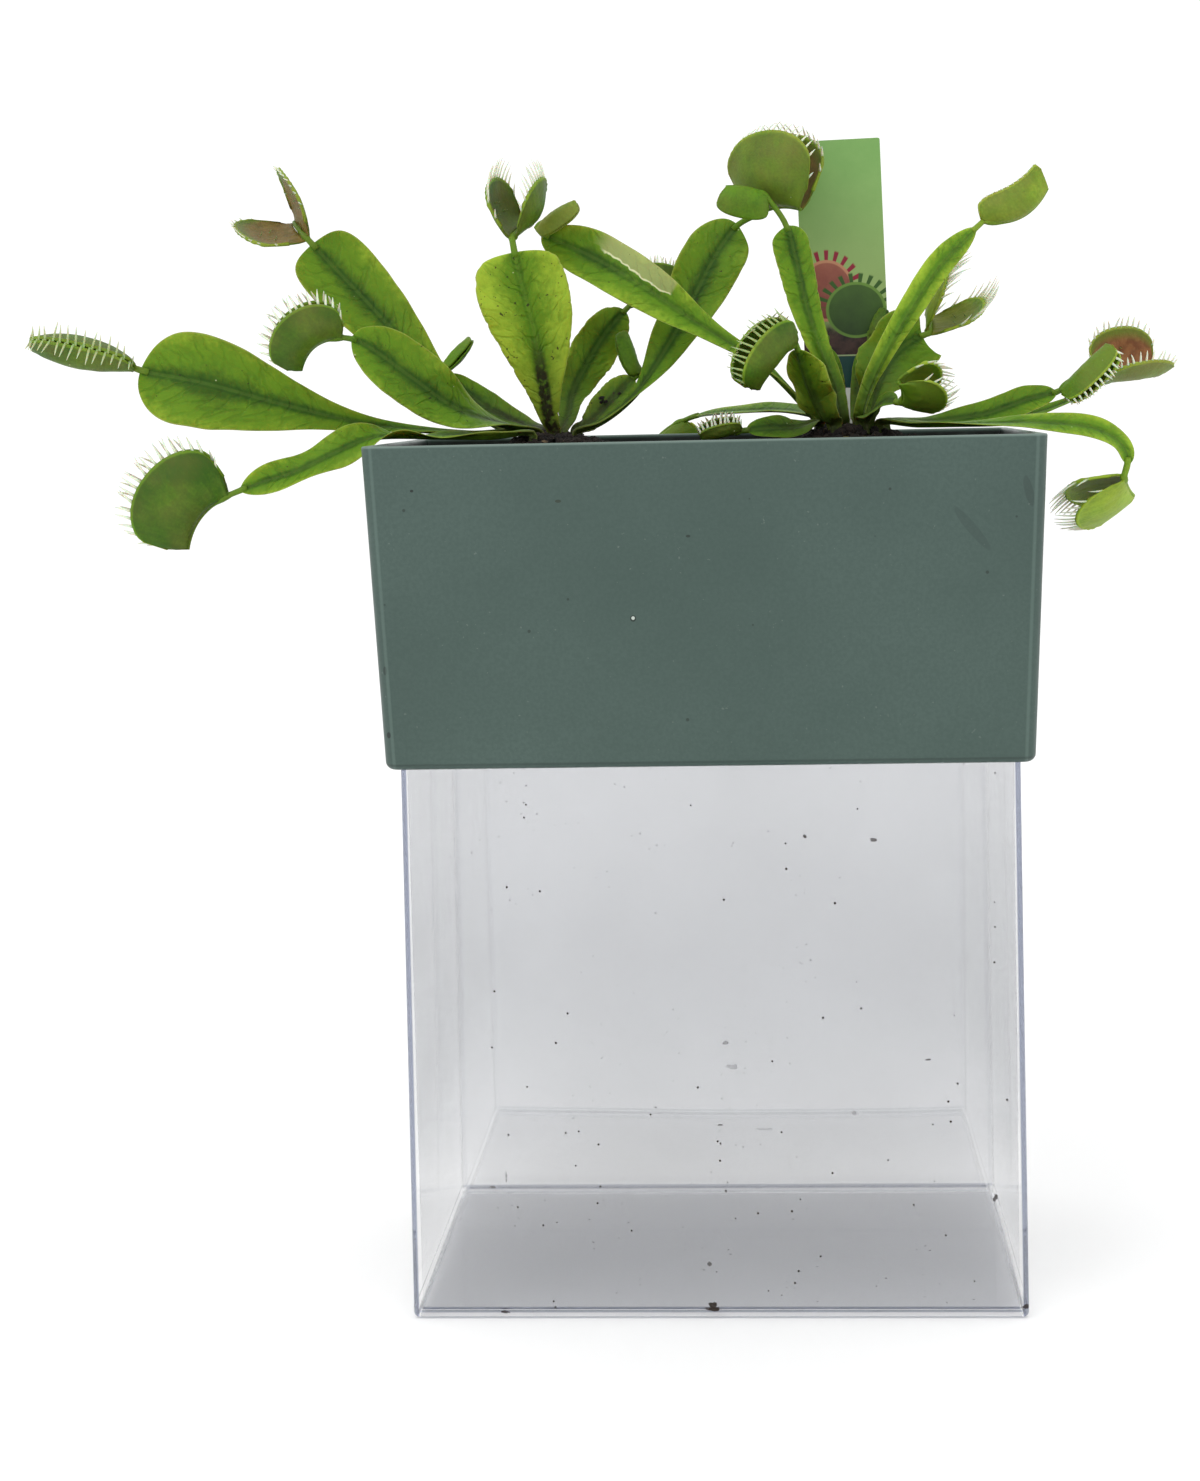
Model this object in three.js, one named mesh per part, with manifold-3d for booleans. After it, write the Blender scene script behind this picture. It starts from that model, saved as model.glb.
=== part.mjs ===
// Two Venus flytraps in a rectangular planter that stands on a clear open-topped box.
// Millimetres, +Z up. The origin is the middle of the clear box's underside, +X runs
// along the planter's long side, and +Y runs from its front to its back.
import * as THREE from 'three';
import { mergeVertices } from 'three/addons/utils/BufferGeometryUtils.js';
import Module from 'manifold-3d';

const wasm = await Module();
wasm.setup();

// ---------- driving dimensions ----------
const CLEARANCE = 0.3;           // between pieces that touch on the real thing

const BOX = { width: 156, depth: 97, height: 140.5, wall: 1.6, corner: 1.5 };

const POT = {
  bottomWidth: 163.5, bottomDepth: 100, topWidth: 171, topDepth: 108, height: 82,
  wall: 1.8, floor: 2, corner: 3.5, footRadius: 2, lip: 0.5,
};
const DRAIN = { diameter: 7, spacing: 44, row: 24 };

const SOIL = { drop: 6, moundSpread: 22, ripple: 0.5 };
const CROWNS = {
  left: { x: -41, y: 0, mound: 5.5, depth: 1 },
  right: { x: 39, y: 0, mound: 6.5, depth: 1 },
};
const CROWN_RADIUS = 11.5;
const CROWN_HEIGHT = 24;

const LABEL = {
  width: 23.5, height: 69, thickness: 0.8, corner: 0.6, x: 39, y: 26, bottom: 235,
  stakeWidth: 7, stakeOffset: 1.5, stakeDepth: 44, tilt: 1.5,
};

const BLADE = { rootWidth: 3.4, stalkWidth: 1.7, rise: 3.2, root: 1.4, rib: 1.3, edge: 0.7 };
const TRAP = { wall: 0.8, hingeHalfWidth: 0.9, hingeTaper: 0.4, bulgeTaper: 0.85 };
const USUAL_ENDS = [0.42, 0.42];  // a lobe's depth at the stalk and at the far end, as shares
const USUAL_CURL = 0.25;          // how far the teeth turn in towards the other lobe

const potBottom = BOX.height;
const potRim = potBottom + POT.height;
const soilFloor = potBottom + POT.floor;
const soilLevel = potRim - SOIL.drop;

// Each leaf: root is its compass angle and distance on the crown; through is the route of
// its midrib, which ends where the trap begins; face is where the blade's upper side looks.
// A trap's hinge runs from that end along hinge, and its lobes open towards mouth by open
// degrees to each side. Lengths are in millimetres.
const LEAVES = {
  left: [
    {
      root: [180, 9.2], through: [[-64, -5, 225], [-89, -10, 227.5], [-111, -14, 233],
        [-133, -16, 239.5], [-149, -16, 243], [-152, -16, 244]],
      face: [0.1, -1, 0.25], width: 26, peak: 0.88, power: 7, stalk: 2, fold: 5,
      trap: { hinge: [-0.97, 0, 0.22], mouth: [0, -0.95, 0.3], length: 27.5, depth: 11,
        open: -2, bulge: 3.4, fan: 12, sag: 0, teeth: 9, tooth: 5, ends: [0.14, 0.1], curl: 0.9 },
    },
    {
      root: [232, 9.4], through: [[-57, -13, 224], [-70, -17, 224.2], [-87, -21.5, 224.2],
        [-97, -24, 220.5], [-107, -26, 215.8], [-118, -26, 212.6], [-125, -26, 210]],
      face: [-0.35, -0.85, 0.4], width: 10.5, peak: 0.74, power: 1.6, stalk: 3.5, fold: 10,
      wave: 0.9, turn: [0.42, 0.7],
      trap: { hinge: [-0.63, 0, -0.78], mouth: [-0.78, -0.1, 0.63], length: 18, depth: 17.5,
        open: 6, bulge: 3.5, fan: 33, sag: 2.5, teeth: 10, tooth: 6.5, curl: 0.15 },
    },
    {
      root: [150, 9.2], through: [[-56, 9, 225.5], [-71, 17, 235], [-86.3, 22, 251.5],
        [-100.3, 25, 266.7], [-109, 26, 276], [-112.5, 26, 280]],
      face: [0.3, -1, 0.15], width: 21.5, peak: 0.87, power: 3.6, stalk: 2, fold: 4, shoulder: 2.5,
      trap: { hinge: [-0.42, 0.8, 0.4], mouth: [-0.76, -0.42, 0.62], length: 14, depth: 17.5,
        open: 33, bulge: 2.2, fan: 26, sag: 1, teeth: 8, tooth: 2.5, ends: [0.5, 0.3] },
    },
    {
      root: [205, 4.6], through: [[-53, -6, 226.5], [-66, -15, 231.5], [-77, -21, 240],
        [-87, -24.5, 247.8], [-91, -25.5, 250], [-94, -26, 250.6]],
      face: [0.35, -0.95, 0.35], width: 17.5, peak: 0.76, power: 1.5, stalk: 2.5, fold: 9,
      trap: { hinge: [-0.8, 0, -0.6], mouth: [-0.6, -0.25, 0.8], length: 14, depth: 11,
        open: 14, bulge: 2.6, fan: 40, sag: 2.8, teeth: 9, tooth: 5 },
    },
    {
      root: [135, 4.6], through: [[-50, 5, 226.5], [-58, 7, 230], [-66, 9, 235.5],
        [-73, 10, 242]],
      face: [0.5, -0.8, 0.4], width: 9.5, peak: 0.66, power: 1, stalk: 2, fold: 10,
      trap: { hinge: [0.66, 0.1, 0.72], mouth: [0.35, -0.9, -0.25], length: 11.5, depth: 4,
        open: 3, bulge: 0.9, fan: 10, sag: 0, teeth: 0, tooth: 0 },
    },
    {
      root: [270, 4.6], through: [[-42, -7, 228], [-43, -10, 236], [-45, -14.5, 252],
        [-48.1, -18.5, 266], [-49, -20, 272], [-49.5, -20.5, 275.5]],
      face: [-0.1, 1, -0.2], width: 24.5, peak: 0.82, power: 1.9, stalk: 3.5, fold: 5,
      shoulder: 1.8,
      trap: { hinge: [0.24, 0.9, 0.3], mouth: [-0.06, -0.4, 0.9], length: 13, depth: 14.5,
        open: 23, bulge: 2.8, fan: 20, sag: 1, teeth: 9, tooth: 6 },
    },
    {
      root: [75, 4.8], through: [[-38.5, 8, 228], [-37, 14, 236], [-33, 18, 244],
        [-28, 20, 252], [-23.5, 21.5, 257], [-21.5, 22, 259]],
      face: [0.3, -1, 0.1], width: 13, peak: 0.74, power: 1.8, stalk: 2, fold: 6,
      trap: { hinge: [0.98, 0.12, 0.1], mouth: [-0.1, 0.15, 1], length: 14, depth: 9.5,
        open: 9, bulge: 2, fan: 26, sag: 1.2, teeth: 8, tooth: 4 },
    },
    {
      root: [8, 5], through: [[-29, 1, 227], [-19.7, 3, 234], [-10.3, 6, 247.4], [-2.4, 9, 261.8],
        [3.6, 11, 272.8], [9, 12, 279.8], [14, 12, 282.5]],
      face: [-0.15, -1, 0.15], width: 17.5, peak: 0.87, power: 3, stalk: 5.5, fold: 5,
      wave: 0.7,
      trap: { hinge: [0.84, -0.5, 0.05], mouth: [-0.1, 0.1, 1], length: 14.5, depth: 20.5,
        open: 12, bulge: 4.5, fan: 30, sag: 1.5, teeth: 10, tooth: 5, curl: 0.9 },
    },
    {
      root: [52, 9.2], through: [[-32.8, 7.2, 226], [-28, 7.5, 231], [-23, 9.5, 236],
        [-18.5, 10, 240]],
      face: [-0.5, -0.9, 0.3], width: 10, peak: 0.7, power: 1, stalk: 2, fold: 8,
      trap: { hinge: [-0.3, 0.05, 0.95], mouth: [-0.75, -0.65, -0.1], length: 12, depth: 4.5,
        open: 3, bulge: 1, fan: 10, sag: 0, teeth: 0, tooth: 0 },
    },
  ],
  right: [
    {
      root: [168, 9.2], through: [[27.5, 0, 229], [16.5, -5.5, 240.5], [-1, -9.5, 252.3],
        [-17, -9.5, 263.5], [-30, -5.5, 271.4], [-41.4, -3, 276.9], [-44.5, -4, 279.2]],
      face: [-0.1, -0.95, 0.3], width: 14.5, peak: 0.8, power: 4.5, stalk: 2, fold: 8, wave: 0.8,
      trap: { hinge: [0.84, -0.05, 0.55], mouth: [0.4, -0.5, -0.65], length: 12.5, depth: 5,
        open: 3, bulge: 1.2, fan: 12, sag: -0.8, teeth: 0, tooth: 0, ends: [0.3, 0.12] },
    },
    {
      root: [240, 4.6], through: [[36.5, -5.5, 227], [35, -5, 235], [30.5, -4, 246],
        [27, -2, 258], [24.5, 0, 270], [22, 0.5, 279.5], [17, 0, 286.8]],
      face: [-0.3, 1, 0], width: 10.5, peak: 0.92, power: 2.3, stalk: 10, fold: 8,
      trap: { hinge: [-0.94, -0.1, 0.22], mouth: [-0.35, -0.15, -0.95], length: 11, depth: 8,
        open: 2, bulge: 1.5, fan: 24, sag: -0.8, teeth: 0, tooth: 0 },
    },
    {
      root: [236, 9.2], through: [[31.5, -12, 227], [28.5, -15, 233], [26, -19, 240.5],
        [24, -22, 246.7]],
      face: [0.55, 0.8, -0.35], width: 13, peak: 0.68, power: 1.2, stalk: 2, fold: 8,
      trap: { hinge: [-0.62, -0.25, -0.74], mouth: [-0.62, -0.55, 0.5], length: 16, depth: 10,
        open: 14, bulge: 3.2, fan: 30, sag: 1.5, teeth: 9, tooth: 5.5, curl: 1 },
    },
    {
      root: [120, 4.6], through: [[35.5, 8, 227], [34, 12, 235], [33, 16, 243], [33, 18, 248]],
      face: [0.3, -1, 0.2], width: 8, peak: 0.74, power: 1.4, stalk: 2, fold: 8,
      trap: { hinge: [-0.3, 0.35, 0.9], mouth: [-0.6, -0.75, 0.1], length: 8, depth: 4,
        open: 3, bulge: 0.9, fan: 10, sag: 0, teeth: 0, tooth: 0 },
    },
    {
      root: [120, 9.4], through: [[31, 17, 227], [20, 33, 229], [3, 49, 228.5],
        [-5, 59, 227.5], [-9, 62, 226]],
      face: [-0.2, -0.3, 1], width: 8, peak: 0.5, power: 0.8, stalk: 5, fold: 12,
      trap: { hinge: [-0.75, 0.15, -0.6], mouth: [0.55, 0.1, -0.8], length: 13, depth: 9,
        open: 8, bulge: 2, fan: 30, sag: -1, teeth: 8, tooth: 4.5 },
    },
    {
      root: [195, 9.2], through: [[24, -8, 224.5], [17, -13, 224.5], [9, -16, 224]],
      face: [0, -0.8, 0.6], width: 8, peak: 0.6, power: 0.8, stalk: 2, fold: 10,
      trap: { hinge: [-0.96, -0.1, -0.2], mouth: [0, -0.4, 0.9], length: 10, depth: 4,
        open: 16, bulge: 1, fan: 20, sag: 0, teeth: 7, tooth: 3.5 },
    },
    {
      root: [300, 4.8], through: [[41, -8, 228], [43.5, -9.5, 235.5], [48.7, -10, 245.5],
        [55.3, -9, 256], [62.5, -6, 266.5], [70.5, 0, 274.5], [75.5, 4, 279]],
      face: [-0.35, 1, -0.2], width: 7.4, peak: 0.76, power: 1.6, stalk: 4, fold: 12,
      trap: { hinge: [0.9, 0, 0.44], mouth: [-0.4, -0.12, 0.9], length: 19, depth: 8.5,
        open: 1, bulge: 2.4, fan: 6, sag: -3.6, teeth: 8, tooth: 1.6, ends: [0.1, 0.9],
        curl: 0.8 },
    },
    {
      root: [0, 4.6], through: [[45, 3, 229], [47.5, 4.5, 238], [51.4, 5.5, 243.9],
        [56.3, 6, 247.5], [60.1, 6, 249]],
      face: [-0.2, -1, 0.05], width: 19, peak: 0.84, power: 1.8, stalk: 1.5, fold: 6,
      wave: 0.9, shoulder: 4,
      trap: { hinge: [0.05, 0.88, 0.45], mouth: [0.68, -0.35, 0.65], length: 10.5, depth: 15.5,
        open: 23, bulge: 1.8, fan: 16, sag: 1, teeth: 9, tooth: 6.5 },
    },
    {
      root: [292, 9.2], through: [[44, -14, 228.5], [47.5, -19, 231], [51, -22.5, 230.6]],
      face: [-0.3, -0.6, 0.8], width: 8, peak: 0.6, power: 0.8, stalk: 1.5, fold: 10,
      trap: { hinge: [-0.1, -0.75, 0.55], mouth: [0.95, -0.1, 0.2], length: 9, depth: 11,
        open: 16, bulge: 2, fan: 26, sag: 1, teeth: 8, tooth: 4.5 },
    },
    {
      root: [348, 9.4], through: [[60, 0, 225.4], [75, 1.5, 227], [86, 1.5, 230.5],
        [93, 0.5, 232.2], [95, 0, 233]],
      face: [-0.1, -0.85, 0.5], width: 8.5, peak: 0.8, power: 2, stalk: 1.5, fold: 8,
      trap: { hinge: [0.72, -0.05, 0.69], mouth: [0.5, -0.65, -0.5], length: 17, depth: 7,
        open: 5, bulge: 1.5, fan: 16, sag: 0, teeth: 8, tooth: 3.5 },
    },
    {
      root: [22, 9.4], through: [[58, 8, 225], [72, 13, 225], [90, 15, 227], [102, 14.5, 231.5],
        [108, 14, 235]],
      face: [0, -0.5, 1], width: 5, peak: 0.6, power: 1, stalk: 5, fold: 10,
      trap: { hinge: [0.94, 0.3, 0.1], mouth: [0.15, -0.5, 0.85], length: 15, depth: 13,
        open: 40, bulge: 2, fan: 26, sag: 1, teeth: 9, tooth: 4 },
    },
    {
      root: [321, 9.4], through: [[56, -17, 225], [71, -22, 224.8], [89, -27, 224.7],
        [101, -30, 222.6], [106.5, -30, 219], [108, -30, 215], [107, -30, 210.5]],
      face: [0.2, -0.7, 0.7], width: 8, peak: 0.82, power: 1, stalk: 3.5, fold: 6,
      turn: [0.3, 0.8],
      trap: { hinge: [0.3, 0.85, -0.4], mouth: [-0.9, 0.1, -0.35], length: 13, depth: 15.5,
        open: 12, bulge: 1.8, fan: 18, sag: 0.5, teeth: 9, tooth: 6, ends: [0.3, 0.42] },
    },
    {
      root: [60, 4.6], through: [[41.5, 8.5, 227], [43, 12, 235], [44.5, 15, 244], [45, 16.5, 249]],
      face: [-0.3, -1, 0.2], width: 8, peak: 0.74, power: 1.4, stalk: 2, fold: 8,
      trap: { hinge: [0.4, 0.25, 0.88], mouth: [0.5, -0.8, 0], length: 8, depth: 4,
        open: 3, bulge: 0.9, fan: 10, sag: 0, teeth: 0, tooth: 0 },
    },
  ],
};

// Where the sections of a blade and of its stalk lie, as parts of each one's length, and
// where a lobe's rows lie between its hinge and its margin.
const BLADE_STATIONS = [0, 0.06, 0.15, 0.27, 0.39, 0.51, 0.62, 0.72, 0.81, 0.88, 0.94, 0.98, 1];
const RIDGE_STATIONS = [-1, -0.72, -0.45];
const LOBE_ROWS = [1, 0.72, 0.38, 0];
const LOBE_SPANS = 6;

// ---------- solids ----------
function solidFrom(positions, triangles) {
  const mesh = new wasm.Mesh({
    numProp: 3,
    vertProperties: Float32Array.from(positions.flatMap((point) => [point.x, point.y, point.z])),
    triVerts: Uint32Array.from(triangles.flat()),
  });
  return new wasm.Manifold(mesh);
}

function solidOf(geometry) {
  const bare = geometry.clone();
  bare.deleteAttribute('normal');
  bare.deleteAttribute('uv');
  const merged = mergeVertices(bare, 1e-3);
  const positions = [];
  for (let i = 0; i < merged.attributes.position.count; i += 1) {
    positions.push(new THREE.Vector3().fromBufferAttribute(merged.attributes.position, i));
  }
  const triangles = [];
  for (let i = 0; i < merged.index.count; i += 3) {
    const [a, b, c] = [0, 1, 2].map((corner) => merged.index.getX(i + corner));
    if (a !== b && b !== c && c !== a) {
      triangles.push([a, b, c]);
    }
  }
  return solidFrom(positions, triangles);
}

function geometryOf(solid) {
  const mesh = solid.getMesh();
  const geometry = new THREE.BufferGeometry();
  geometry.setAttribute('position', new THREE.BufferAttribute(mesh.vertProperties, 3));
  geometry.setIndex(new THREE.BufferAttribute(mesh.triVerts, 1));
  geometry.computeVertexNormals();
  return geometry;
}

// A level outline with rounded corners, anticlockwise seen from above.
function roundedOutline(width, depth, radius, z, perCorner = 4, perSide = 1) {
  const points = [];
  for (let corner = 0; corner < 4; corner += 1) {
    const signX = corner === 0 || corner === 3 ? 1 : -1;
    const signY = corner < 2 ? 1 : -1;
    const centreX = signX * (width / 2 - radius);
    const centreY = signY * (depth / 2 - radius);
    for (let step = 0; step <= perCorner; step += 1) {
      const angle = (corner + step / perCorner) * Math.PI / 2;
      points.push(new THREE.Vector3(centreX + radius * Math.cos(angle),
        centreY + radius * Math.sin(angle), z));
    }
    const along = corner % 2 === 0 ? width : depth;
    const count = Math.round(perSide * along / (width + depth) * 2);
    const start = points[points.length - 1];
    const straight = along - 2 * radius;
    for (let step = 1; step < count; step += 1) {
      const travel = straight * step / count;
      const direction = [[-1, 0], [0, -1], [1, 0], [0, 1]][corner];
      points.push(new THREE.Vector3(start.x + direction[0] * travel,
        start.y + direction[1] * travel, z));
    }
  }
  return points;
}

// A closed solid whose skin passes through a list of outlines and is capped at both ends.
function loft(outlines) {
  const count = outlines[0].length;
  const positions = outlines.flat();
  const triangles = [];
  for (let level = 0; level < outlines.length - 1; level += 1) {
    for (let i = 0; i < count; i += 1) {
      const a = level * count + i;
      const b = level * count + (i + 1) % count;
      triangles.push([a, b, b + count], [a, b + count, a + count]);
    }
  }
  const middle = (outline) => outline
    .reduce((sum, point) => sum.add(point), new THREE.Vector3())
    .divideScalar(count);
  const first = positions.push(middle(outlines[0])) - 1;
  const last = positions.push(middle(outlines[outlines.length - 1])) - 1;
  const top = (outlines.length - 1) * count;
  for (let i = 0; i < count; i += 1) {
    const next = (i + 1) % count;
    triangles.push([first, next, i], [last, top + i, top + next]);
  }
  return solidFrom(positions, triangles);
}

// ---------- thin surfaces ----------
// A surface is the middle of a thin wall: its points, the wall's thickness at each one,
// the triangles between them, and the spikes that stand out of its edges.
function newSurface() {
  return { points: [], thickness: [], triangles: [], spikes: new Map() };
}

function addRow(surface, points, thickness) {
  return points.map((point) => {
    surface.thickness.push(thickness);
    return surface.points.push(point) - 1;
  });
}

// Joins two rows of evenly spread points, which may differ in number.
function joinRows(surface, rowA, rowB) {
  const lastA = rowA.length - 1;
  const lastB = rowB.length - 1;
  let a = 0;
  let b = 0;
  while (a < lastA || b < lastB) {
    if (b === lastB || (a < lastA && (a + 1) / lastA <= (b + 1) / lastB)) {
      surface.triangles.push([rowA[a], rowB[b], rowA[a + 1]]);
      a += 1;
    } else {
      surface.triangles.push([rowA[a], rowB[b], rowB[b + 1]]);
      b += 1;
    }
  }
}

function edgeName(a, b) {
  return a < b ? `${a}-${b}` : `${b}-${a}`;
}

// Gives a surface its thickness: both faces are split into the same triangles, and the
// open edges are closed by a narrow wall, or by the four sides of a spike.
function thicken(surface) {
  const { points, thickness, triangles, spikes } = surface;
  const normals = points.map(() => new THREE.Vector3());
  const uses = new Map();
  for (const corners of triangles) {
    const [a, b, c] = corners.map((index) => points[index]);
    const normal = b.clone().sub(a).cross(c.clone().sub(a));
    corners.forEach((index, i) => {
      normals[index].add(normal);
      const name = edgeName(index, corners[(i + 1) % 3]);
      uses.set(name, (uses.get(name) ?? 0) + 1);
    });
  }
  const count = points.length;
  const shifted = (sign) => points.map((point, i) => point.clone()
    .addScaledVector(normals[i].clone().normalize(), sign * thickness[i] / 2));
  const positions = [...shifted(1), ...shifted(-1)];
  const skin = [];
  for (const [a, b, c] of triangles) {
    skin.push([a, b, c], [a + count, c + count, b + count]);
    for (const [from, to] of [[a, b], [b, c], [c, a]]) {
      if (uses.get(edgeName(from, to)) > 1) {
        continue;
      }
      const wall = [to, from, from + count, to + count];
      const tip = spikes.get(edgeName(from, to));
      if (tip) {
        const apex = positions.push(tip) - 1;
        wall.forEach((corner, i) => skin.push([corner, wall[(i + 1) % 4], apex]));
      } else {
        skin.push([wall[0], wall[1], wall[2]], [wall[0], wall[2], wall[3]]);
      }
    }
  }
  return solidFrom(positions, skin);
}

// ---------- leaves ----------
const radians = THREE.MathUtils.degToRad;

function vector([x, y, z]) {
  return new THREE.Vector3(x, y, z);
}

// The direction of wanted that is left once its part along axis is taken away.
function squareTo(axis, wanted) {
  return wanted.clone().addScaledVector(axis, -wanted.dot(axis)).normalize();
}

// A trap's own directions: along the hinge, out of the mouth, and from lobe to lobe.
function trapFrame(leaf) {
  const start = vector(leaf.through[leaf.through.length - 1]);
  const hinge = vector(leaf.trap.hinge).normalize();
  const mouth = squareTo(hinge, vector(leaf.trap.mouth));
  return { start, hinge, mouth, across: hinge.clone().cross(mouth) };
}

// The hinge line, from s = -1 at the stalk to s = 1.
function hingePoint(trap, frame, s) {
  return frame.start.clone()
    .addScaledVector(frame.hinge, trap.length * (s + 1) / 2)
    .addScaledVector(frame.mouth, trap.sag * (1 - s * s));
}

// A point on a lobe, from r = 0 at the hinge to r = 1 at the margin; side is 1 or -1.
function lobePoint(trap, frame, side, s, r) {
  const reach = Math.sqrt(1 - Math.abs(s) ** 2.4);
  const end = THREE.MathUtils.lerp(...(trap.ends ?? USUAL_ENDS), (s + 1) / 2);
  const depth = trap.depth * (end + (1 - end) * reach);
  const fan = radians(trap.fan) * s;
  const lean = radians(trap.open);
  const ray = frame.mouth.clone().multiplyScalar(Math.cos(fan))
    .addScaledVector(frame.hinge, Math.sin(fan));
  const along = ray.clone().multiplyScalar(Math.cos(lean))
    .addScaledVector(frame.across, side * Math.sin(lean));
  const away = frame.across.clone().multiplyScalar(side * Math.cos(lean))
    .addScaledVector(ray, -Math.sin(lean));
  const bulge = trap.bulge * (1 - TRAP.bulgeTaper * s * s) * Math.sin(Math.PI * r ** 0.8);
  const hingeHalf = TRAP.hingeHalfWidth * (1 - TRAP.hingeTaper * s * s);
  return hingePoint(trap, frame, s)
    .addScaledVector(frame.across, side * hingeHalf)
    .addScaledVector(along, depth * r)
    .addScaledVector(away, bulge);
}

// Where a margin tooth ends: it carries on from the lobe and turns in towards the other one.
function toothTip(trap, frame, side, s) {
  const margin = lobePoint(trap, frame, side, s, 1);
  const outward = margin.clone().sub(lobePoint(trap, frame, side, s, 0.9)).normalize();
  const turnIn = -(trap.curl ?? USUAL_CURL) * side;
  const direction = outward.addScaledVector(frame.across, turnIn).normalize();
  return margin.addScaledVector(direction, trap.tooth * (1 - 0.45 * s * s));
}

function trapSolid(leaf) {
  const { trap } = leaf;
  const frame = trapFrame(leaf);
  const surface = newSurface();
  const marginSpans = trap.teeth > 0 ? 2 * trap.teeth + 1 : 8;
  const rows = [];
  for (const side of [1, -1]) {
    const lobeRows = LOBE_ROWS.map((r) => {
      const spans = r === 1 ? marginSpans : LOBE_SPANS;
      const steps = Array.from({ length: spans + 1 }, (_, i) => -1 + 2 * i / spans);
      return addRow(surface, steps.map((s) => lobePoint(trap, frame, side, s, r)), TRAP.wall);
    });
    rows.push(...(side === 1 ? lobeRows : lobeRows.reverse()));
    const margin = side === 1 ? rows[0] : rows[rows.length - 1];
    const firstTooth = side === 1 ? 1 : 2;
    for (let i = firstTooth; trap.teeth > 0 && i < marginSpans - 1; i += 2) {
      const s = -1 + (2 * i + 1) / marginSpans;
      surface.spikes.set(edgeName(margin[i], margin[i + 1]), toothTip(trap, frame, side, s));
    }
  }
  for (let i = 0; i < rows.length - 1; i += 1) {
    joinRows(surface, rows[i], rows[i + 1]);
  }
  return thicken(surface);
}

// Half of a blade's width at u, from 0 at the crown to 1 where its stalk begins.
function halfWidth(leaf, u) {
  const rise = Math.sin(Math.min(u / leaf.peak, 1) * Math.PI / 2) ** leaf.power;
  const past = Math.max(0, (u - leaf.peak) / (1 - leaf.peak));
  const full = BLADE.rootWidth + (leaf.width - BLADE.rootWidth) * rise;
  return Math.max(BLADE.stalkWidth, full * Math.sqrt(1 - past * past)) / 2;
}

function bladeSolid(leaf, crown, rootZ) {
  const [angle, distance] = leaf.root;
  const heading = new THREE.Vector3(Math.cos(radians(angle)), Math.sin(radians(angle)), 0);
  const root = new THREE.Vector3(crown.x, crown.y, rootZ).addScaledVector(heading, distance);
  const up = new THREE.Vector3(0, 0, 1);
  const lift = root.clone().addScaledVector(up, BLADE.rise);
  const curve = new THREE.CatmullRomCurve3([root, lift, ...leaf.through.map(vector)]);
  const bladePart = 1 - leaf.stalk / curve.getLength();
  const wanted = vector(leaf.face).normalize();
  const frame = trapFrame(leaf);
  const surface = newSurface();
  const rows = [];
  const addSection = (centre, tangent, u, half, thickness) => {
    const turn = THREE.MathUtils.smoothstep(u, ...(leaf.turn ?? [0.1, 0.6]));
    const rootFace = heading.clone().multiplyScalar(-tangent.z)
      .addScaledVector(up, Math.max(tangent.dot(heading), 0));
    const face = squareTo(tangent, rootFace.lerp(wanted, turn));
    const side = tangent.clone().cross(face);
    const fold = radians(leaf.fold);
    const past = THREE.MathUtils.clamp((u - leaf.peak) / (1 - leaf.peak), 0, 1);
    const forward = (leaf.shoulder ?? 0) * Math.sin(Math.PI * past);
    const ripple = (leaf.wave ?? 0) * 2 * half / leaf.width;
    const edge = (sign) => centre.clone()
      .addScaledVector(side, sign * half * Math.cos(fold))
      .addScaledVector(face, half * Math.sin(fold) + ripple * Math.sin(20 * u + 2 * sign))
      .addScaledVector(tangent, forward);
    const row = addRow(surface, [edge(-1), centre.clone(), edge(1)], BLADE.edge);
    surface.thickness[row[1]] = thickness;
    rows.push(row);
  };
  for (const u of BLADE_STATIONS) {
    const at = u * bladePart;
    const tangent = u === 0 ? up : curve.getTangentAt(at);
    const thickness = THREE.MathUtils.lerp(BLADE.root, BLADE.rib, u);
    addSection(curve.getPointAt(at), tangent, u, halfWidth(leaf, u), thickness);
  }
  const stalkHalf = BLADE.stalkWidth / 2;
  for (const s of RIDGE_STATIONS) {
    const centre = hingePoint(leaf.trap, frame, s);
    const tangent = s === -1
      ? curve.getTangentAt(1).add(frame.hinge).normalize()
      : frame.hinge;
    addSection(centre, tangent, 1, stalkHalf * (1 - 0.25 * (s + 1)), BLADE.rib);
  }
  for (let i = 0; i < rows.length - 1; i += 1) {
    joinRows(surface, rows[i], rows[i + 1]);
  }
  return thicken(surface);
}

function leafSolid(leaf, crown, rootZ) {
  return bladeSolid(leaf, crown, rootZ).add(trapSolid(leaf));
}

// ---------- pot, soil, crowns, label and clear box ----------
function clearBoxSolid() {
  const { width, depth, height, wall, corner } = BOX;
  const outline = (inset, z) => roundedOutline(width - 2 * inset, depth - 2 * inset,
    Math.max(corner - inset, 0.3), z);
  const bevel = corner * (1 - Math.SQRT1_2);
  return loft([
    outline(corner, 0), outline(bevel, bevel), outline(0, corner), outline(0, height),
    outline(wall, height), outline(wall, wall),
  ]);
}

// The planter's outline at height z, moved in from its outer face by inset.
function potOutline(inset, z, perCorner = 4, perSide = 1) {
  const share = (z - potBottom) / POT.height;
  const width = THREE.MathUtils.lerp(POT.bottomWidth, POT.topWidth, share);
  const depth = THREE.MathUtils.lerp(POT.bottomDepth, POT.topDepth, share);
  return roundedOutline(width - 2 * inset, depth - 2 * inset,
    Math.max(POT.corner - inset, 0.5), z, perCorner, perSide);
}

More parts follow.
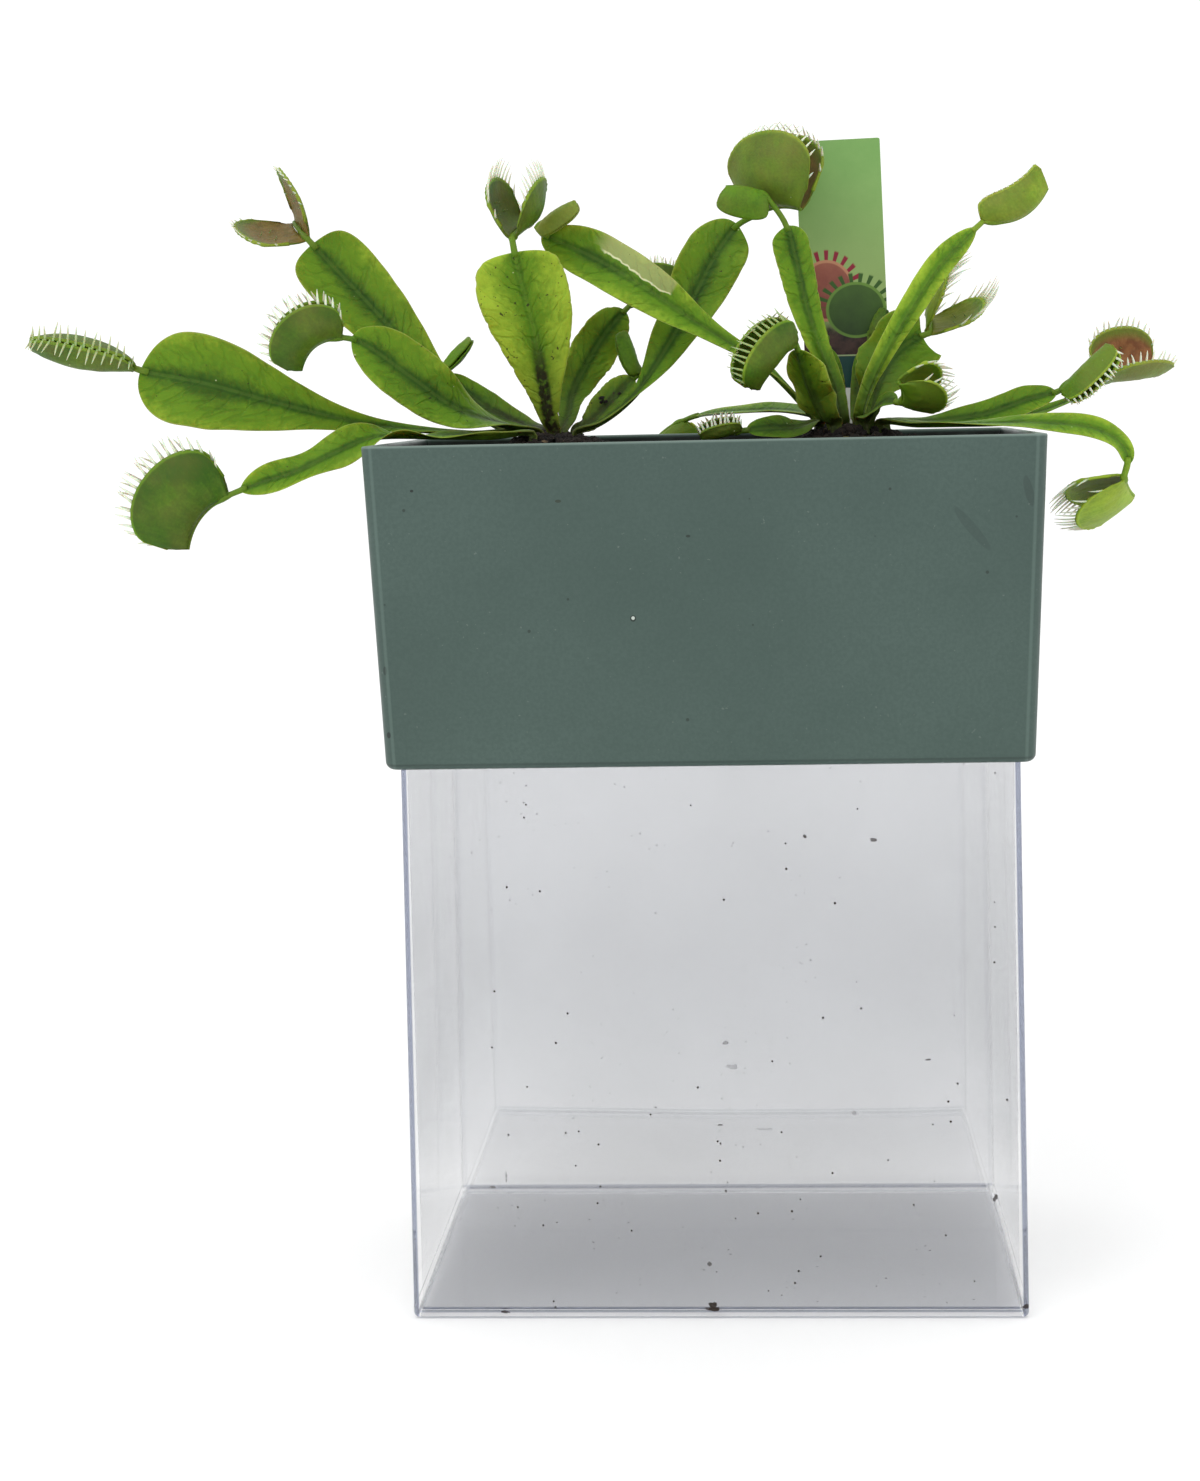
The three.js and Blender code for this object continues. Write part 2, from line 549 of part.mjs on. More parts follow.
function potSolid() {
  const { wall, footRadius, lip } = POT;
  const bevel = footRadius * (1 - Math.SQRT1_2);
  const shell = loft([
    potOutline(footRadius, potBottom), potOutline(bevel, potBottom + bevel),
    potOutline(0, potBottom + footRadius), potOutline(0, potRim - lip),
    potOutline(lip, potRim), potOutline(wall, potRim), potOutline(wall, soilFloor),
  ]);
  const holes = [];
  for (const column of [-1, 0, 1]) {
    for (const row of [-1, 1]) {
      const hole = new THREE.CylinderGeometry(DRAIN.diameter / 2, DRAIN.diameter / 2,
        3 * POT.floor, 12);
      hole.rotateX(Math.PI / 2);
      hole.translate(column * DRAIN.spacing, row * DRAIN.row, potBottom + POT.floor / 2);
      holes.push(solidOf(hole));
    }
  }
  return holes.reduce((solid, hole) => solid.subtract(hole), shell);
}

function soilHeight(x, y) {
  const ripple = SOIL.ripple * Math.sin(x / 4.3) * Math.cos(y / 5.1);
  return Object.values(CROWNS).reduce((height, crown) => {
    const away = Math.hypot(x - crown.x, y - crown.y) / SOIL.moundSpread;
    return height + crown.mound * Math.exp(-away * away);
  }, soilLevel + ripple);
}

function crownTop(crown) {
  return soilLevel + crown.mound - crown.depth;
}

// The crown's turned outline, grown by gap all round; lid is where it ends above.
function crownGeometry(crown, gap, lid) {
  const top = crownTop(crown);
  const profile = [
    [0, top - CROWN_HEIGHT - gap], [4 + gap, top - CROWN_HEIGHT + 1],
    [9 + gap, top - 0.7 * CROWN_HEIGHT], [CROWN_RADIUS + gap, top - 0.25 * CROWN_HEIGHT],
    [CROWN_RADIUS + gap, lid], [0, lid],
  ];
  const lathe = new THREE.LatheGeometry(profile.map(([r, z]) => new THREE.Vector2(r, z)), 14);
  lathe.rotateX(Math.PI / 2);
  lathe.translate(crown.x, crown.y, 0);
  return lathe;
}

function labelGeometry(gap = 0) {
  const { width, height, thickness, corner, stakeWidth, stakeOffset, stakeDepth } = LABEL;
  const half = width / 2 + gap;
  const stake = stakeWidth / 2 + gap;
  const shape = new THREE.Shape();
  shape.moveTo(stakeOffset - stake, -gap);
  shape.lineTo(stakeOffset - stake, -stakeDepth + 6);
  shape.lineTo(stakeOffset, -stakeDepth - gap);
  shape.lineTo(stakeOffset + stake, -stakeDepth + 6);
  shape.lineTo(stakeOffset + stake, -gap);
  shape.lineTo(half - corner, -gap);
  shape.quadraticCurveTo(half, -gap, half, corner);
  shape.lineTo(half, height - corner);
  shape.quadraticCurveTo(half, height, half - corner, height);
  shape.lineTo(-half + corner, height);
  shape.quadraticCurveTo(-half, height, -half, height - corner);
  shape.lineTo(-half, corner);
  shape.quadraticCurveTo(-half, -gap, -half + corner, -gap);
  const card = new THREE.ExtrudeGeometry(shape, {
    depth: thickness + 2 * gap, bevelEnabled: false, curveSegments: 3,
  });
  card.translate(0, 0, -thickness / 2 - gap);
  card.rotateX(Math.PI / 2);
  card.rotateY(radians(-LABEL.tilt));
  card.translate(LABEL.x, LABEL.y, LABEL.bottom);
  return card;
}

function soilSolid() {
  const perCorner = 3;
  const perSide = 9;
  const inset = POT.wall + CLEARANCE;
  const wallTop = potOutline(inset, soilLevel, perCorner, perSide);
  const rings = [potOutline(inset, soilFloor, perCorner, perSide)];
  for (const scale of [1, 0.86, 0.72, 0.57, 0.42, 0.26, 0.1]) {
    rings.push(wallTop.map(({ x, y }) => new THREE.Vector3(x * scale, y * scale,
      soilHeight(x * scale, y * scale))));
  }
  const openAbove = potRim + 10;
  const pits = Object.values(CROWNS)
    .map((crown) => solidOf(crownGeometry(crown, CLEARANCE, openAbove)));
  const cuts = [...pits, solidOf(labelGeometry(CLEARANCE))];
  return cuts.reduce((solid, cut) => solid.subtract(cut), loft(rings));
}

// ---------- the assembly ----------
const plant = new THREE.Group();

function place(name, solid, look) {
  const mesh = new THREE.Mesh(geometryOf(solid), new THREE.MeshStandardMaterial(look));
  mesh.name = name;
  plant.add(mesh);
}

place('clear_box', clearBoxSolid(), {
  color: 0xd5d8db, roughness: 0.12, metalness: 0, transparent: true, opacity: 0.3,
});
place('pot', potSolid(), { color: 0x50645e, roughness: 0.45, metalness: 0 });
place('soil', soilSolid(), { color: 0x241c17, roughness: 0.95, metalness: 0 });
place('label', solidOf(labelGeometry()), { color: 0x6ea350, roughness: 0.35, metalness: 0 });

for (const [side, crown] of Object.entries(CROWNS)) {
  const top = crownTop(crown);
  place(`crown_${side}`, solidOf(crownGeometry(crown, 0, top)),
    { color: 0x6d5a3c, roughness: 0.8, metalness: 0 });
  LEAVES[side].forEach((leaf, index) => {
    place(`leaf_${side}_${index + 1}`, leafSolid(leaf, crown, top + CLEARANCE),
      { color: 0x5f8c2c, roughness: 0.5, metalness: 0 });
  });
}

export default plant;
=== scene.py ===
"""Two Venus flytraps in a planter on a clear box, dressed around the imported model."""

import math
import random

import bmesh
import bpy
import numpy as np
from mathutils import Matrix, Vector, noise


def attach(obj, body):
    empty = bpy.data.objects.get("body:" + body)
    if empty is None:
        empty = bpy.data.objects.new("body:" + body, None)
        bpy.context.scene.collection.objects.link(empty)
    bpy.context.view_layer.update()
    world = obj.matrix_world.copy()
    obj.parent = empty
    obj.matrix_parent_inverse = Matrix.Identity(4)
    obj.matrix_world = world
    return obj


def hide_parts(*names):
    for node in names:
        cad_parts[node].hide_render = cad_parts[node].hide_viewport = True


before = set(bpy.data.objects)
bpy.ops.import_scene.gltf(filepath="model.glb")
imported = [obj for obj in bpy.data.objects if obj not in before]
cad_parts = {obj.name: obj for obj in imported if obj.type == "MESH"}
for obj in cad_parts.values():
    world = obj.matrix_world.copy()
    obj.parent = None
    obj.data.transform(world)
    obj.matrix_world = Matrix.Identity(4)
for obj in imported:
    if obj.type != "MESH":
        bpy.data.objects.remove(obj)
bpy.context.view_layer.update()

MM = 0.001

# ---------- driving dimensions, in millimetres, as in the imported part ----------
CLEARANCE = 0.3
BOX = dict(width=156, depth=97, height=140.5, wall=1.6, corner=1.5)
POT = dict(bottom_width=163.5, bottom_depth=100, top_width=171, top_depth=108, height=82,
           wall=1.8, floor=2, corner=3.5, foot=2, lip=0.5)
DRAIN = dict(diameter=7, spacing=44, row=24)
POT_BOTTOM = BOX["height"]
POT_RIM = POT_BOTTOM + POT["height"]
POT_FLARE = (POT["top_width"] - POT["bottom_width"]) / 2 / POT["height"]
SOIL_FLOOR = POT_BOTTOM + POT["floor"]
SOIL_LEVEL = POT_RIM - 6
MOUND_SPREAD = 22
CROWNS = dict(left=dict(x=-41, y=0, mound=5.5), right=dict(x=39, y=0, mound=6.5))
CROWN_DROP = 1
SOIL_ON_LEAF = ((-28.6, 6.6, 232.6), (-24.2, 8.2, 233.6))  # two clumps stuck to one stalk
LABEL = dict(x=39, bottom=235, height=69)

# Loose crumbs: over all the soil, heaped about each crown, and in each clump on a leaf.
CRUMBS, HEAP_CRUMBS, CLUMP_CRUMBS = 2000, 700, 7
HEAP_HEIGHT, HEAP_REACH = 3.2, 17

ROOT_WIDTH, STALK_WIDTH, ROOT_RISE = 3.4, 1.7, 3.2
HINGE_HALF_WIDTH, HINGE_TAPER, BULGE_TAPER = 0.9, 0.4, 0.85
CORNER_TUCK = 0.3  # how far a lobe's outer corners are rounded off
TOOTH_RADIUS, HAIR_RADIUS, HAIR_LENGTH = 0.34, 0.08, 1.6
TRIGGER_HAIRS = ((-0.32, 0.42), (0.0, 0.6), (0.32, 0.42))  # places along and up a lobe
WIDE_OPEN = 20  # only a trap that stands open further than this shows its trigger hairs

# How finely the living pieces are divided.
BLADE_ROWS, BLADE_COLUMNS = 96, 21
LOBE_SPANS, LOBE_RINGS = 44, 18
TOOTH_RINGS, TOOTH_SIDES = 6, 6

# Each leaf: root is its compass angle and distance on the crown; through is the route of its
# midrib, which ends where the trap begins; face is where the blade's upper side looks.
# look is the brightness of the blade and of the trap, and how red the trap is inside. lobed
# and ragged are how uneven the blade's outline is, and dirt is how much soil clings to it.
# flap is a bent-over stretch, only painted, lighter as painted sheen with a painted highlight on
# its crease: where it starts and ends along the blade, and its crease's place.
# pale is how far a tooth's colour changes from green to near white towards its tip.
# What a leaf leaves out is as usual. The usual trap hasn't opened yet: it has no teeth, and
# its lobes lean together.
USUAL_LEAF = dict(stalk=2, fold=8, shoulder=0, wave=0.15, turn=(0.1, 0.6), lobed=0, ragged=0,
                  dirt=0, flap=None)
USUAL_TRAP = dict(open=-6, fan=10, sag=0, teeth=0, tooth=0, ends=(0.42, 0.42), curl=0.25, pale=1)
LEAVES = dict(
    left=[
        dict(root=(180, 9.2), face=(0.1, -1, 0.25), width=26, peak=0.88, power=7, fold=5,
             lobed=0.03, look=(0.42, 0.2, 0.1),
             through=[(-64, -5, 225), (-89, -10, 227.5), (-111, -14, 233), (-133, -16, 239.5),
                      (-149, -16, 243), (-152, -16, 244)],
             trap=dict(hinge=(-0.97, 0, 0.22), mouth=(0, -0.95, 0.3), length=27.5, depth=11,
                       open=-2, bulge=3.4, fan=12, teeth=15, tooth=5, ends=(0.14, 0.1), curl=0.9,
                       pale=0.2)),
        dict(root=(232, 9.4), face=(-0.35, -0.85, 0.4), width=10.5, peak=0.74, power=1.6,
             stalk=3.5, fold=10, wave=1.5, turn=(0.42, 0.7), lobed=0.06, look=(0.52, 0.1, 0),
             through=[(-57, -13, 224), (-70, -17, 224.2), (-87, -21.5, 224.2), (-97, -24, 220.5),
                      (-107, -26, 215.8), (-118, -26, 212.6), (-125, -26, 210)],
             trap=dict(hinge=(-0.63, 0, -0.78), mouth=(-0.78, -0.1, 0.63), length=18, depth=17.5,
                       open=6, bulge=3.5, fan=33, sag=2.5, teeth=19, tooth=6.5, curl=0.15)),
        dict(root=(150, 9.2), face=(0.3, -1, 0.15), width=21.5, peak=0.87, power=3.6, fold=4,
             shoulder=2.5, lobed=0.03, look=(0.44, 0.3, 0.5),
             through=[(-56, 9, 225.5), (-71, 17, 235), (-86.3, 22, 251.5), (-100.3, 25, 266.7),
                      (-109, 26, 276), (-112.5, 26, 280)],
             trap=dict(hinge=(-0.42, 0.8, 0.4), mouth=(-0.76, -0.42, 0.62), length=14, depth=17.5,
                       open=33, bulge=2.2, fan=26, sag=1, teeth=12, tooth=2.5, ends=(0.5, 0.3))),
        dict(root=(205, 4.6), face=(0.35, -0.95, 0.35), width=17.5, peak=0.76, power=1.5,
             stalk=2.5, fold=9, lobed=0.03, dirt=0.4, look=(0.44, 0.12, 0.15),
             through=[(-53, -6, 226.5), (-66, -15, 231.5), (-77, -21, 240), (-87, -24.5, 247.8),
                      (-91, -25.5, 250), (-94, -26, 250.6)],
             trap=dict(hinge=(-0.8, 0, -0.6), mouth=(-0.6, -0.25, 0.8), length=14, depth=11,
                       open=14, bulge=2.6, fan=40, sag=2.8, teeth=16, tooth=5)),
        dict(root=(135, 4.6), face=(0.5, -0.8, 0.4), width=9.5, peak=0.66, power=1, fold=10,
             dirt=0.6, look=(0.4, 0.42, 0),
             through=[(-50, 5, 226.5), (-58, 7, 230), (-66, 9, 235.5), (-73, 10, 242)],
             trap=dict(hinge=(0.66, 0.1, 0.72), mouth=(0.35, -0.9, -0.25), length=11.5, depth=4,
                       bulge=0.9)),
        dict(root=(270, 4.6), face=(-0.1, 1, -0.2), width=24.5, peak=0.82, power=1.9, stalk=3.5,
             fold=5, shoulder=1.8, lobed=0.03, ragged=0.6, dirt=1.2, look=(0.74, 0.18, 0.1),
             through=[(-42, -7, 228), (-43, -10, 236), (-45, -14.5, 252), (-48.1, -18.5, 266),
                      (-49, -20, 272), (-49.5, -20.5, 275.5)],
             trap=dict(hinge=(0.24, 0.9, 0.3), mouth=(-0.06, -0.4, 0.9), length=13, depth=14.5,
                       open=23, bulge=2.8, fan=20, sag=1, teeth=15, tooth=6)),
        dict(root=(75, 4.8), face=(0.3, -1, 0.1), width=13, peak=0.74, power=1.8, fold=6, wave=0.8,
             lobed=0.08, ragged=0.5, look=(0.44, 0.15, 0.2),
             through=[(-38.5, 8, 228), (-37, 14, 236), (-33, 18, 244), (-28, 20, 252),
                      (-23.5, 21.5, 257), (-21.5, 22, 259)],
             trap=dict(hinge=(0.98, 0.12, 0.1), mouth=(-0.1, 0.15, 1), length=14, depth=9.5,
                       open=9, bulge=2, fan=26, sag=1.2, teeth=13, tooth=4)),
        dict(root=(8, 5), face=(-0.15, -1, 0.15), width=17.5, peak=0.87, power=3, stalk=5.5,
             fold=5, wave=1, lobed=0.08, dirt=0.3, look=(0.39, 0.3, 0.5),
             through=[(-29, 1, 227), (-19.7, 3, 234), (-10.3, 6, 247.4), (-2.4, 9, 261.8),
                      (3.6, 11, 272.8), (9, 12, 279.8), (14, 12, 282.5)],
             trap=dict(hinge=(0.84, -0.5, 0.05), mouth=(-0.1, 0.1, 1), length=14.5, depth=20.5,
                       open=12, bulge=4.5, fan=30, sag=1.5, teeth=19, tooth=5, curl=0.9)),
        dict(root=(52, 9.2), face=(-0.5, -0.9, 0.3), width=10, peak=0.7, power=1, ragged=0.5,
             dirt=0.5, look=(0.58, 0.3, 0),
             through=[(-32.8, 7.2, 226), (-28, 7.5, 231), (-23, 9.5, 236), (-18.5, 10, 240)],
             trap=dict(hinge=(-0.3, 0.05, 0.95), mouth=(-0.75, -0.65, -0.1), length=12, depth=4.5,
                       bulge=1)),
    ],
    right=[
        dict(root=(168, 9.2), face=(-0.1, -0.95, 0.3), width=14.5, peak=0.8, power=4.5, wave=1.2,
             lobed=0.06, flap=(57, 78, 1.6), look=(0.52, 0.62, 0.7),
             through=[(27.5, 0, 229), (16.5, -5.5, 240.5), (-1, -9.5, 252.3), (-17, -9.5, 263.5),
                      (-30, -5.5, 271.4), (-41.4, -3, 276.9), (-44.5, -4, 279.2)],
             trap=dict(hinge=(0.84, -0.05, 0.55), mouth=(0.4, -0.5, -0.65), length=12.5, depth=5,
                       bulge=1.2, fan=12, sag=-0.8, ends=(0.3, 0.12))),
        dict(root=(240, 4.6), face=(-0.3, 1, 0), width=10.5, peak=0.92, power=2.3, stalk=10,
             ragged=0.4, look=(0.44, 0.34, 0),
             through=[(36.5, -5.5, 227), (35, -5, 235), (30.5, -4, 246), (27, -2, 258),
                      (24.5, 0, 270), (22, 0.5, 279.5), (17, 0, 286.8)],
             trap=dict(hinge=(-0.94, -0.1, 0.22), mouth=(-0.35, -0.15, -0.95), length=11, depth=8,
                       bulge=1.5, fan=24, sag=-0.8)),
        dict(root=(236, 9.2), face=(0.55, 0.8, -0.35), width=13, peak=0.68, power=1.2, wave=0.6,
             lobed=0.1, dirt=0.3, look=(0.6, 0.2, 0),
             through=[(31.5, -12, 227), (28.5, -15, 233), (26, -19, 240.5), (24, -22, 246.7)],
             trap=dict(hinge=(-0.62, -0.25, -0.74), mouth=(-0.62, -0.55, 0.5), length=16, depth=10,
                       open=14, bulge=3.2, fan=30, sag=1.5, teeth=16, tooth=5.5, curl=1,
                       pale=0.12)),
        dict(root=(120, 4.6), face=(0.3, -1, 0.2), width=8, peak=0.74, power=1.4,
             look=(0.2, 0.2, 0),
             through=[(35.5, 8, 227), (34, 12, 235), (33, 16, 243), (33, 18, 248)],
             trap=dict(hinge=(-0.3, 0.35, 0.9), mouth=(-0.6, -0.75, 0.1), length=8, depth=4,
                       bulge=0.9)),
        dict(root=(120, 9.4), face=(-0.2, -0.3, 1), width=8, peak=0.5, power=0.8, stalk=5, fold=12,
             look=(0.5, 0.4, 0.2),
             through=[(31, 17, 227), (20, 33, 229), (3, 49, 228.5), (-5, 59, 227.5),
                      (-9, 62, 226)],
             trap=dict(hinge=(-0.75, 0.15, -0.6), mouth=(0.55, 0.1, -0.8), length=13, depth=9,
                       open=8, bulge=2, fan=30, sag=-1, teeth=13, tooth=4.5)),
        dict(root=(195, 9.2), face=(0, -0.8, 0.6), width=8, peak=0.6, power=0.8, fold=10,
             look=(0.25, 0.1, 0.2),
             through=[(24, -8, 224.5), (17, -13, 224.5), (9, -16, 224)],
             trap=dict(hinge=(-0.96, -0.1, -0.2), mouth=(0, -0.4, 0.9), length=10, depth=4,
                       open=16, bulge=1, fan=20, teeth=11, tooth=3.5)),
        dict(root=(300, 4.8), face=(-0.35, 1, -0.2), width=7.4, peak=0.76, power=1.6, stalk=4,
             fold=12, look=(0.62, 0.66, 0.5),
             through=[(41, -8, 228), (43.5, -9.5, 235.5), (48.7, -10, 245.5), (55.3, -9, 256),
                      (62.5, -6, 266.5), (70.5, 0, 274.5), (75.5, 4, 279)],
             trap=dict(hinge=(0.9, 0, 0.44), mouth=(-0.4, -0.12, 0.9), length=19, depth=8.5,
                       open=1, bulge=2.4, fan=6, sag=-3.6, teeth=13, tooth=1.8, ends=(0.1, 0.9),
                       curl=0.8)),
        dict(root=(0, 4.6), face=(-0.2, -1, 0.05), width=19, peak=0.84, power=1.8, stalk=1.5,
             fold=6, wave=1.3, shoulder=4, lobed=0.16, ragged=0.7, look=(0.44, 0.66, 0.25),
             through=[(45, 3, 229), (47.5, 4.5, 238), (51.4, 5.5, 243.9), (56.3, 6, 247.5),
                      (60.1, 6, 249)],
             trap=dict(hinge=(0.05, 0.88, 0.45), mouth=(0.68, -0.35, 0.65), length=10.5,
                       depth=15.5, open=23, bulge=1.8, fan=16, sag=1, teeth=17, tooth=8)),
        dict(root=(292, 9.2), face=(-0.3, -0.6, 0.8), width=8, peak=0.6, power=0.8, stalk=1.5,
             fold=10, look=(0.34, 0.42, 0.15),
             through=[(44, -14, 228.5), (47.5, -19, 231), (51, -22.5, 230.6)],
             trap=dict(hinge=(-0.1, -0.75, 0.55), mouth=(0.95, -0.1, 0.2), length=9, depth=11,
                       open=16, bulge=2, fan=26, sag=1, teeth=12, tooth=4.5)),
        dict(root=(348, 9.4), face=(-0.1, -0.85, 0.5), width=8.5, peak=0.8, power=2, stalk=1.5,
             lobed=0.08, look=(0.35, 0.42, 0.1),
             through=[(60, 0, 225.4), (75, 1.5, 227), (86, 1.5, 230.5), (93, 0.5, 232.2),
                      (95, 0, 233)],
             trap=dict(hinge=(0.72, -0.05, 0.69), mouth=(0.5, -0.65, -0.5), length=17, depth=7,
                       open=5, bulge=1.5, fan=16, teeth=12, tooth=3.5)),
        dict(root=(22, 9.4), face=(0, -0.5, 1), width=5, peak=0.6, power=1, stalk=5, fold=10,
             look=(0.35, 0.42, 0.85),
             through=[(58, 8, 225), (72, 13, 225), (90, 15, 227), (102, 14.5, 231.5),
                      (108, 14, 235)],
             trap=dict(hinge=(0.94, 0.3, 0.1), mouth=(0.15, -0.5, 0.85), length=15, depth=13,
                       open=40, bulge=2, fan=26, sag=1, teeth=14, tooth=4)),
        dict(root=(321, 9.4), face=(0.2, -0.7, 0.7), width=8, peak=0.82, power=1, stalk=3.5,
             fold=6, turn=(0.3, 0.8), lobed=0.05, look=(0.55, 0.78, 0.1),
             through=[(56, -17, 225), (71, -22, 224.8), (89, -27, 224.7), (101, -30, 222.6),
                      (106.5, -30, 219), (108, -30, 215), (107, -30, 210.5)],
             trap=dict(hinge=(0.3, 0.85, -0.4), mouth=(-0.9, 0.1, -0.35), length=13, depth=15.5,
                       open=12, bulge=1.8, fan=18, sag=0.5, teeth=14, tooth=6, ends=(0.3, 0.42))),
        dict(root=(60, 4.6), face=(-0.3, -1, 0.2), width=8, peak=0.74, power=1.4,
             look=(0.25, 0.2, 0),
             through=[(41.5, 8.5, 227), (43, 12, 235), (44.5, 15, 244), (45, 16.5, 249)],
             trap=dict(hinge=(0.4, 0.25, 0.88), mouth=(0.5, -0.8, 0), length=8, depth=4,
                       bulge=0.9)),
    ],
)

# Marks on the pot's front: middle across and up, half sizes, lean, strength and colour.
POT_MARKS = (
    ((66.4, 199.4), (1.6, 5.6), 0.77, 0.34, (46, 60, 56)),
    ((80.4, 208.5), (1.1, 3.8), 0.2, 0.4, (44, 56, 52)),
    ((-18, 178.3), (0.8, 0.8), 0, 0.9, (30, 40, 36)),
    ((-18, 178.4), (0.45, 0.45), 0, 1.0, (176, 186, 178)),
    ((-72.6, 211.2), (0.45, 0.35), 0, 0.9, (26, 32, 30)),
    ((-36, 208), (0.8, 0.4), 0, 0.8, (44, 52, 42)),
    ((-3.8, 198.7), (0.6, 0.35), 0, 0.8, (34, 42, 38)),
    ((-80.4, 149.6), (0.6, 0.8), 0, 0.9, (32, 40, 38)),
    ((-80.8, 166), (0.5, 1.2), 0, 0.7, (38, 48, 44)),
)
# Marks on the clear box's front: middle across and up, half sizes and strength.
BOX_MARKS = (
    ((-1.8, 3.6), (1.1, 0.8), 1.0), ((-1.6, 2.4), (1.9, 0.5), 1.0),
    ((-2.3, 14.0), (0.6, 0.5), 0.9), ((69.8, 30.8), (0.7, 1.1), 0.9),
    ((77.0, 3.0), (0.8, 0.7), 0.9), ((-54.5, 1.7), (1.3, 0.4), 0.9),
    ((2.8, 70.4), (0.9, 0.5), 0.55), ((4.6, 64.4), (1.6, 0.6), 0.4),
    ((12.4, 48.4), (2.2, 0.25), 0.35), ((-57.0, 33.8), (0.9, 0.3), 0.8),
    ((-53.4, 36.6), (0.25, 1.5), 0.6), ((35.0, 52.5), (0.6, 0.6), 0.5),
    ((41.0, 121.3), (0.8, 0.35), 0.8), ((23.8, 122.4), (0.4, 0.35), 0.9),
    ((53.6, 65.8), (0.7, 0.25), 0.8), ((1.0, 49.5), (0.7, 0.25), 0.8),
)
CLEAREST = 0.04  # how much of the light the box's clearest part, the front wall near its foot, takes up; kept this clear as painted light, to lighten the floor inside, shaded by the pot


# ---------- small helpers ----------
def unit(vector):
    return vector / max(np.linalg.norm(vector), 1e-9)


def square_to(axis, wanted):
    return unit(wanted - axis * np.dot(axis, wanted))


def smoothstep(value, low, high):
    share = min(max((value - low) / (high - low), 0.0), 1.0)
    return share * share * (3 - 2 * share)


def wobble(x, y=0.0, z=0.0):
    """A smooth repeatable value from -1 to 1."""
    return noise.noise(Vector((x, y, z)))


def circle(sides):
    """The cosine and sine of each corner of a regular outline."""
    return [(math.cos(a), math.sin(a)) for a in np.linspace(0, 2 * math.pi, sides, endpoint=False)]


class Skin:
    """Collects vertices in millimetres, faces, and values that the materials read."""

    VALUES = ("along", "across", "edge", "tone", "blush")

    def __init__(self):
        self.points, self.faces, self.materials = [], [], []
        self.values = {name: [] for name in self.VALUES}

    def tube(self, rings, material=0, **values):
        """A closed skin through rings of points, with both ends capped."""
        start, count = len(self.points), len(rings[0])
        points = [point for ring in rings for point in ring]
        self.points += points
        for name in self.VALUES:
            given = values.get(name, 0.0)
            self.values[name] += given if hasattr(given, "__len__") else [given] * len(points)
        for i in range(len(rings) - 1):
            for j in range(count):
                a = start + i * count + j
                b = start + i * count + (j + 1) % count
                self.faces.append((a, b, b + count, a + count))
        last = start + (len(rings) - 1) * count
        self.faces.append(tuple(range(start + count - 1, start - 1, -1)))
        self.faces.append(tuple(range(last, last + count)))
        self.materials.extend([material] * ((len(rings) - 1) * count + 2))

    def build(self, name, materials, node=None, slot_name=None, sharp=None):
        mesh = bpy.data.meshes.new(name)
        mesh.from_pydata([tuple(np.asarray(p) * MM) for p in self.points], [], self.faces)
        for value, numbers in self.values.items():
            layer = mesh.attributes.new(value, "FLOAT", "POINT")
            layer.data.foreach_set("value", np.asarray(numbers, np.float32))
        for material in materials:
            mesh.materials.append(material)
        mesh.polygons.foreach_set("material_index", np.asarray(self.materials, np.int32))
        mesh.update()
        shaped = bmesh.new()
        shaped.from_mesh(mesh)
        bmesh.ops.recalc_face_normals(shaped, faces=shaped.faces)
        shaped.to_mesh(mesh)
        shaped.free()
        mesh.shade_smooth()
        if sharp is not None:
            mesh.set_sharp_from_angle(angle=math.radians(sharp))
        piece = bpy.data.objects.new(name, mesh)
        bpy.context.scene.collection.objects.link(piece)
        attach(piece, "root")
        if node:
            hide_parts(node)
        return piece


# ---------- materials ----------
def linear(red, green, blue):
    """An sRGB colour, 0 to 255, as the linear colour that shaders take."""
    def one(value):
        value /= 255
        return value / 12.92 if value <= 0.04045 else ((value + 0.055) / 1.055) ** 2.4
    return (one(red), one(green), one(blue), 1.0)


def as_colour(given):
    """Makes an sRGB colour of three numbers linear, and leaves other colours as they are."""
    return linear(*given) if isinstance(given, tuple) and len(given) == 3 else given


def add_node(tree, kind, inputs, output=0, **settings):
    """Adds a node, sets it, feeds its inputs, and returns one of its outputs as a wire."""
    made = tree.nodes.new(kind)
    for name, value in settings.items():
        setattr(made, name, value)
    for name, value in inputs.items():
        if isinstance(value, Wire):
            tree.links.new(value.socket, made.inputs[name])
        else:
            made.inputs[name].default_value = value
    return Wire(made.outputs[output])


class Wire:
    """A value that varies over a surface. Arithmetic with it adds nodes to its material."""

    def __init__(self, socket):
        self.socket = socket

    def math(self, operation, other=0.0):
        return add_node(self.socket.id_data, "ShaderNodeMath", {0: self, 1: other},
                        operation=operation)

    def __add__(self, other):
        return self.math("ADD", other)

    def __sub__(self, other):
        return self.math("SUBTRACT", other)

    def __rsub__(self, other):
        return self * -1.0 + other

    def __mul__(self, other):
        return self.math("MULTIPLY", other)

    def __truediv__(self, other):
        return self.math("DIVIDE", other)

    def __abs__(self):
        return self.math("ABSOLUTE")

    def larger(self, other):
        return self.math("MAXIMUM", other)

    def clamped(self):
        """Keeps the last sum between 0 and 1."""
        self.socket.node.use_clamp = True
        return self

    def ramp(self, low, high, to_low=0.0, to_high=1.0):
        """Goes smoothly from to_low to to_high while the value goes from low to high."""
        return add_node(self.socket.id_data, "ShaderNodeMapRange",
                        dict(enumerate((self, low, high, to_low, to_high))),
                        interpolation_type="SMOOTHSTEP")

    def below(self, full, none, strength=1.0):
        """The given strength up to the first value, and fading to 0 at the second."""
        return self.ramp(full, none, strength, 0.0)

    def line(self, middle, half_width, soft):
        """1 on a band about the middle value, fading to 0 beside it."""
        return abs(self - middle).below(half_width, half_width + soft)


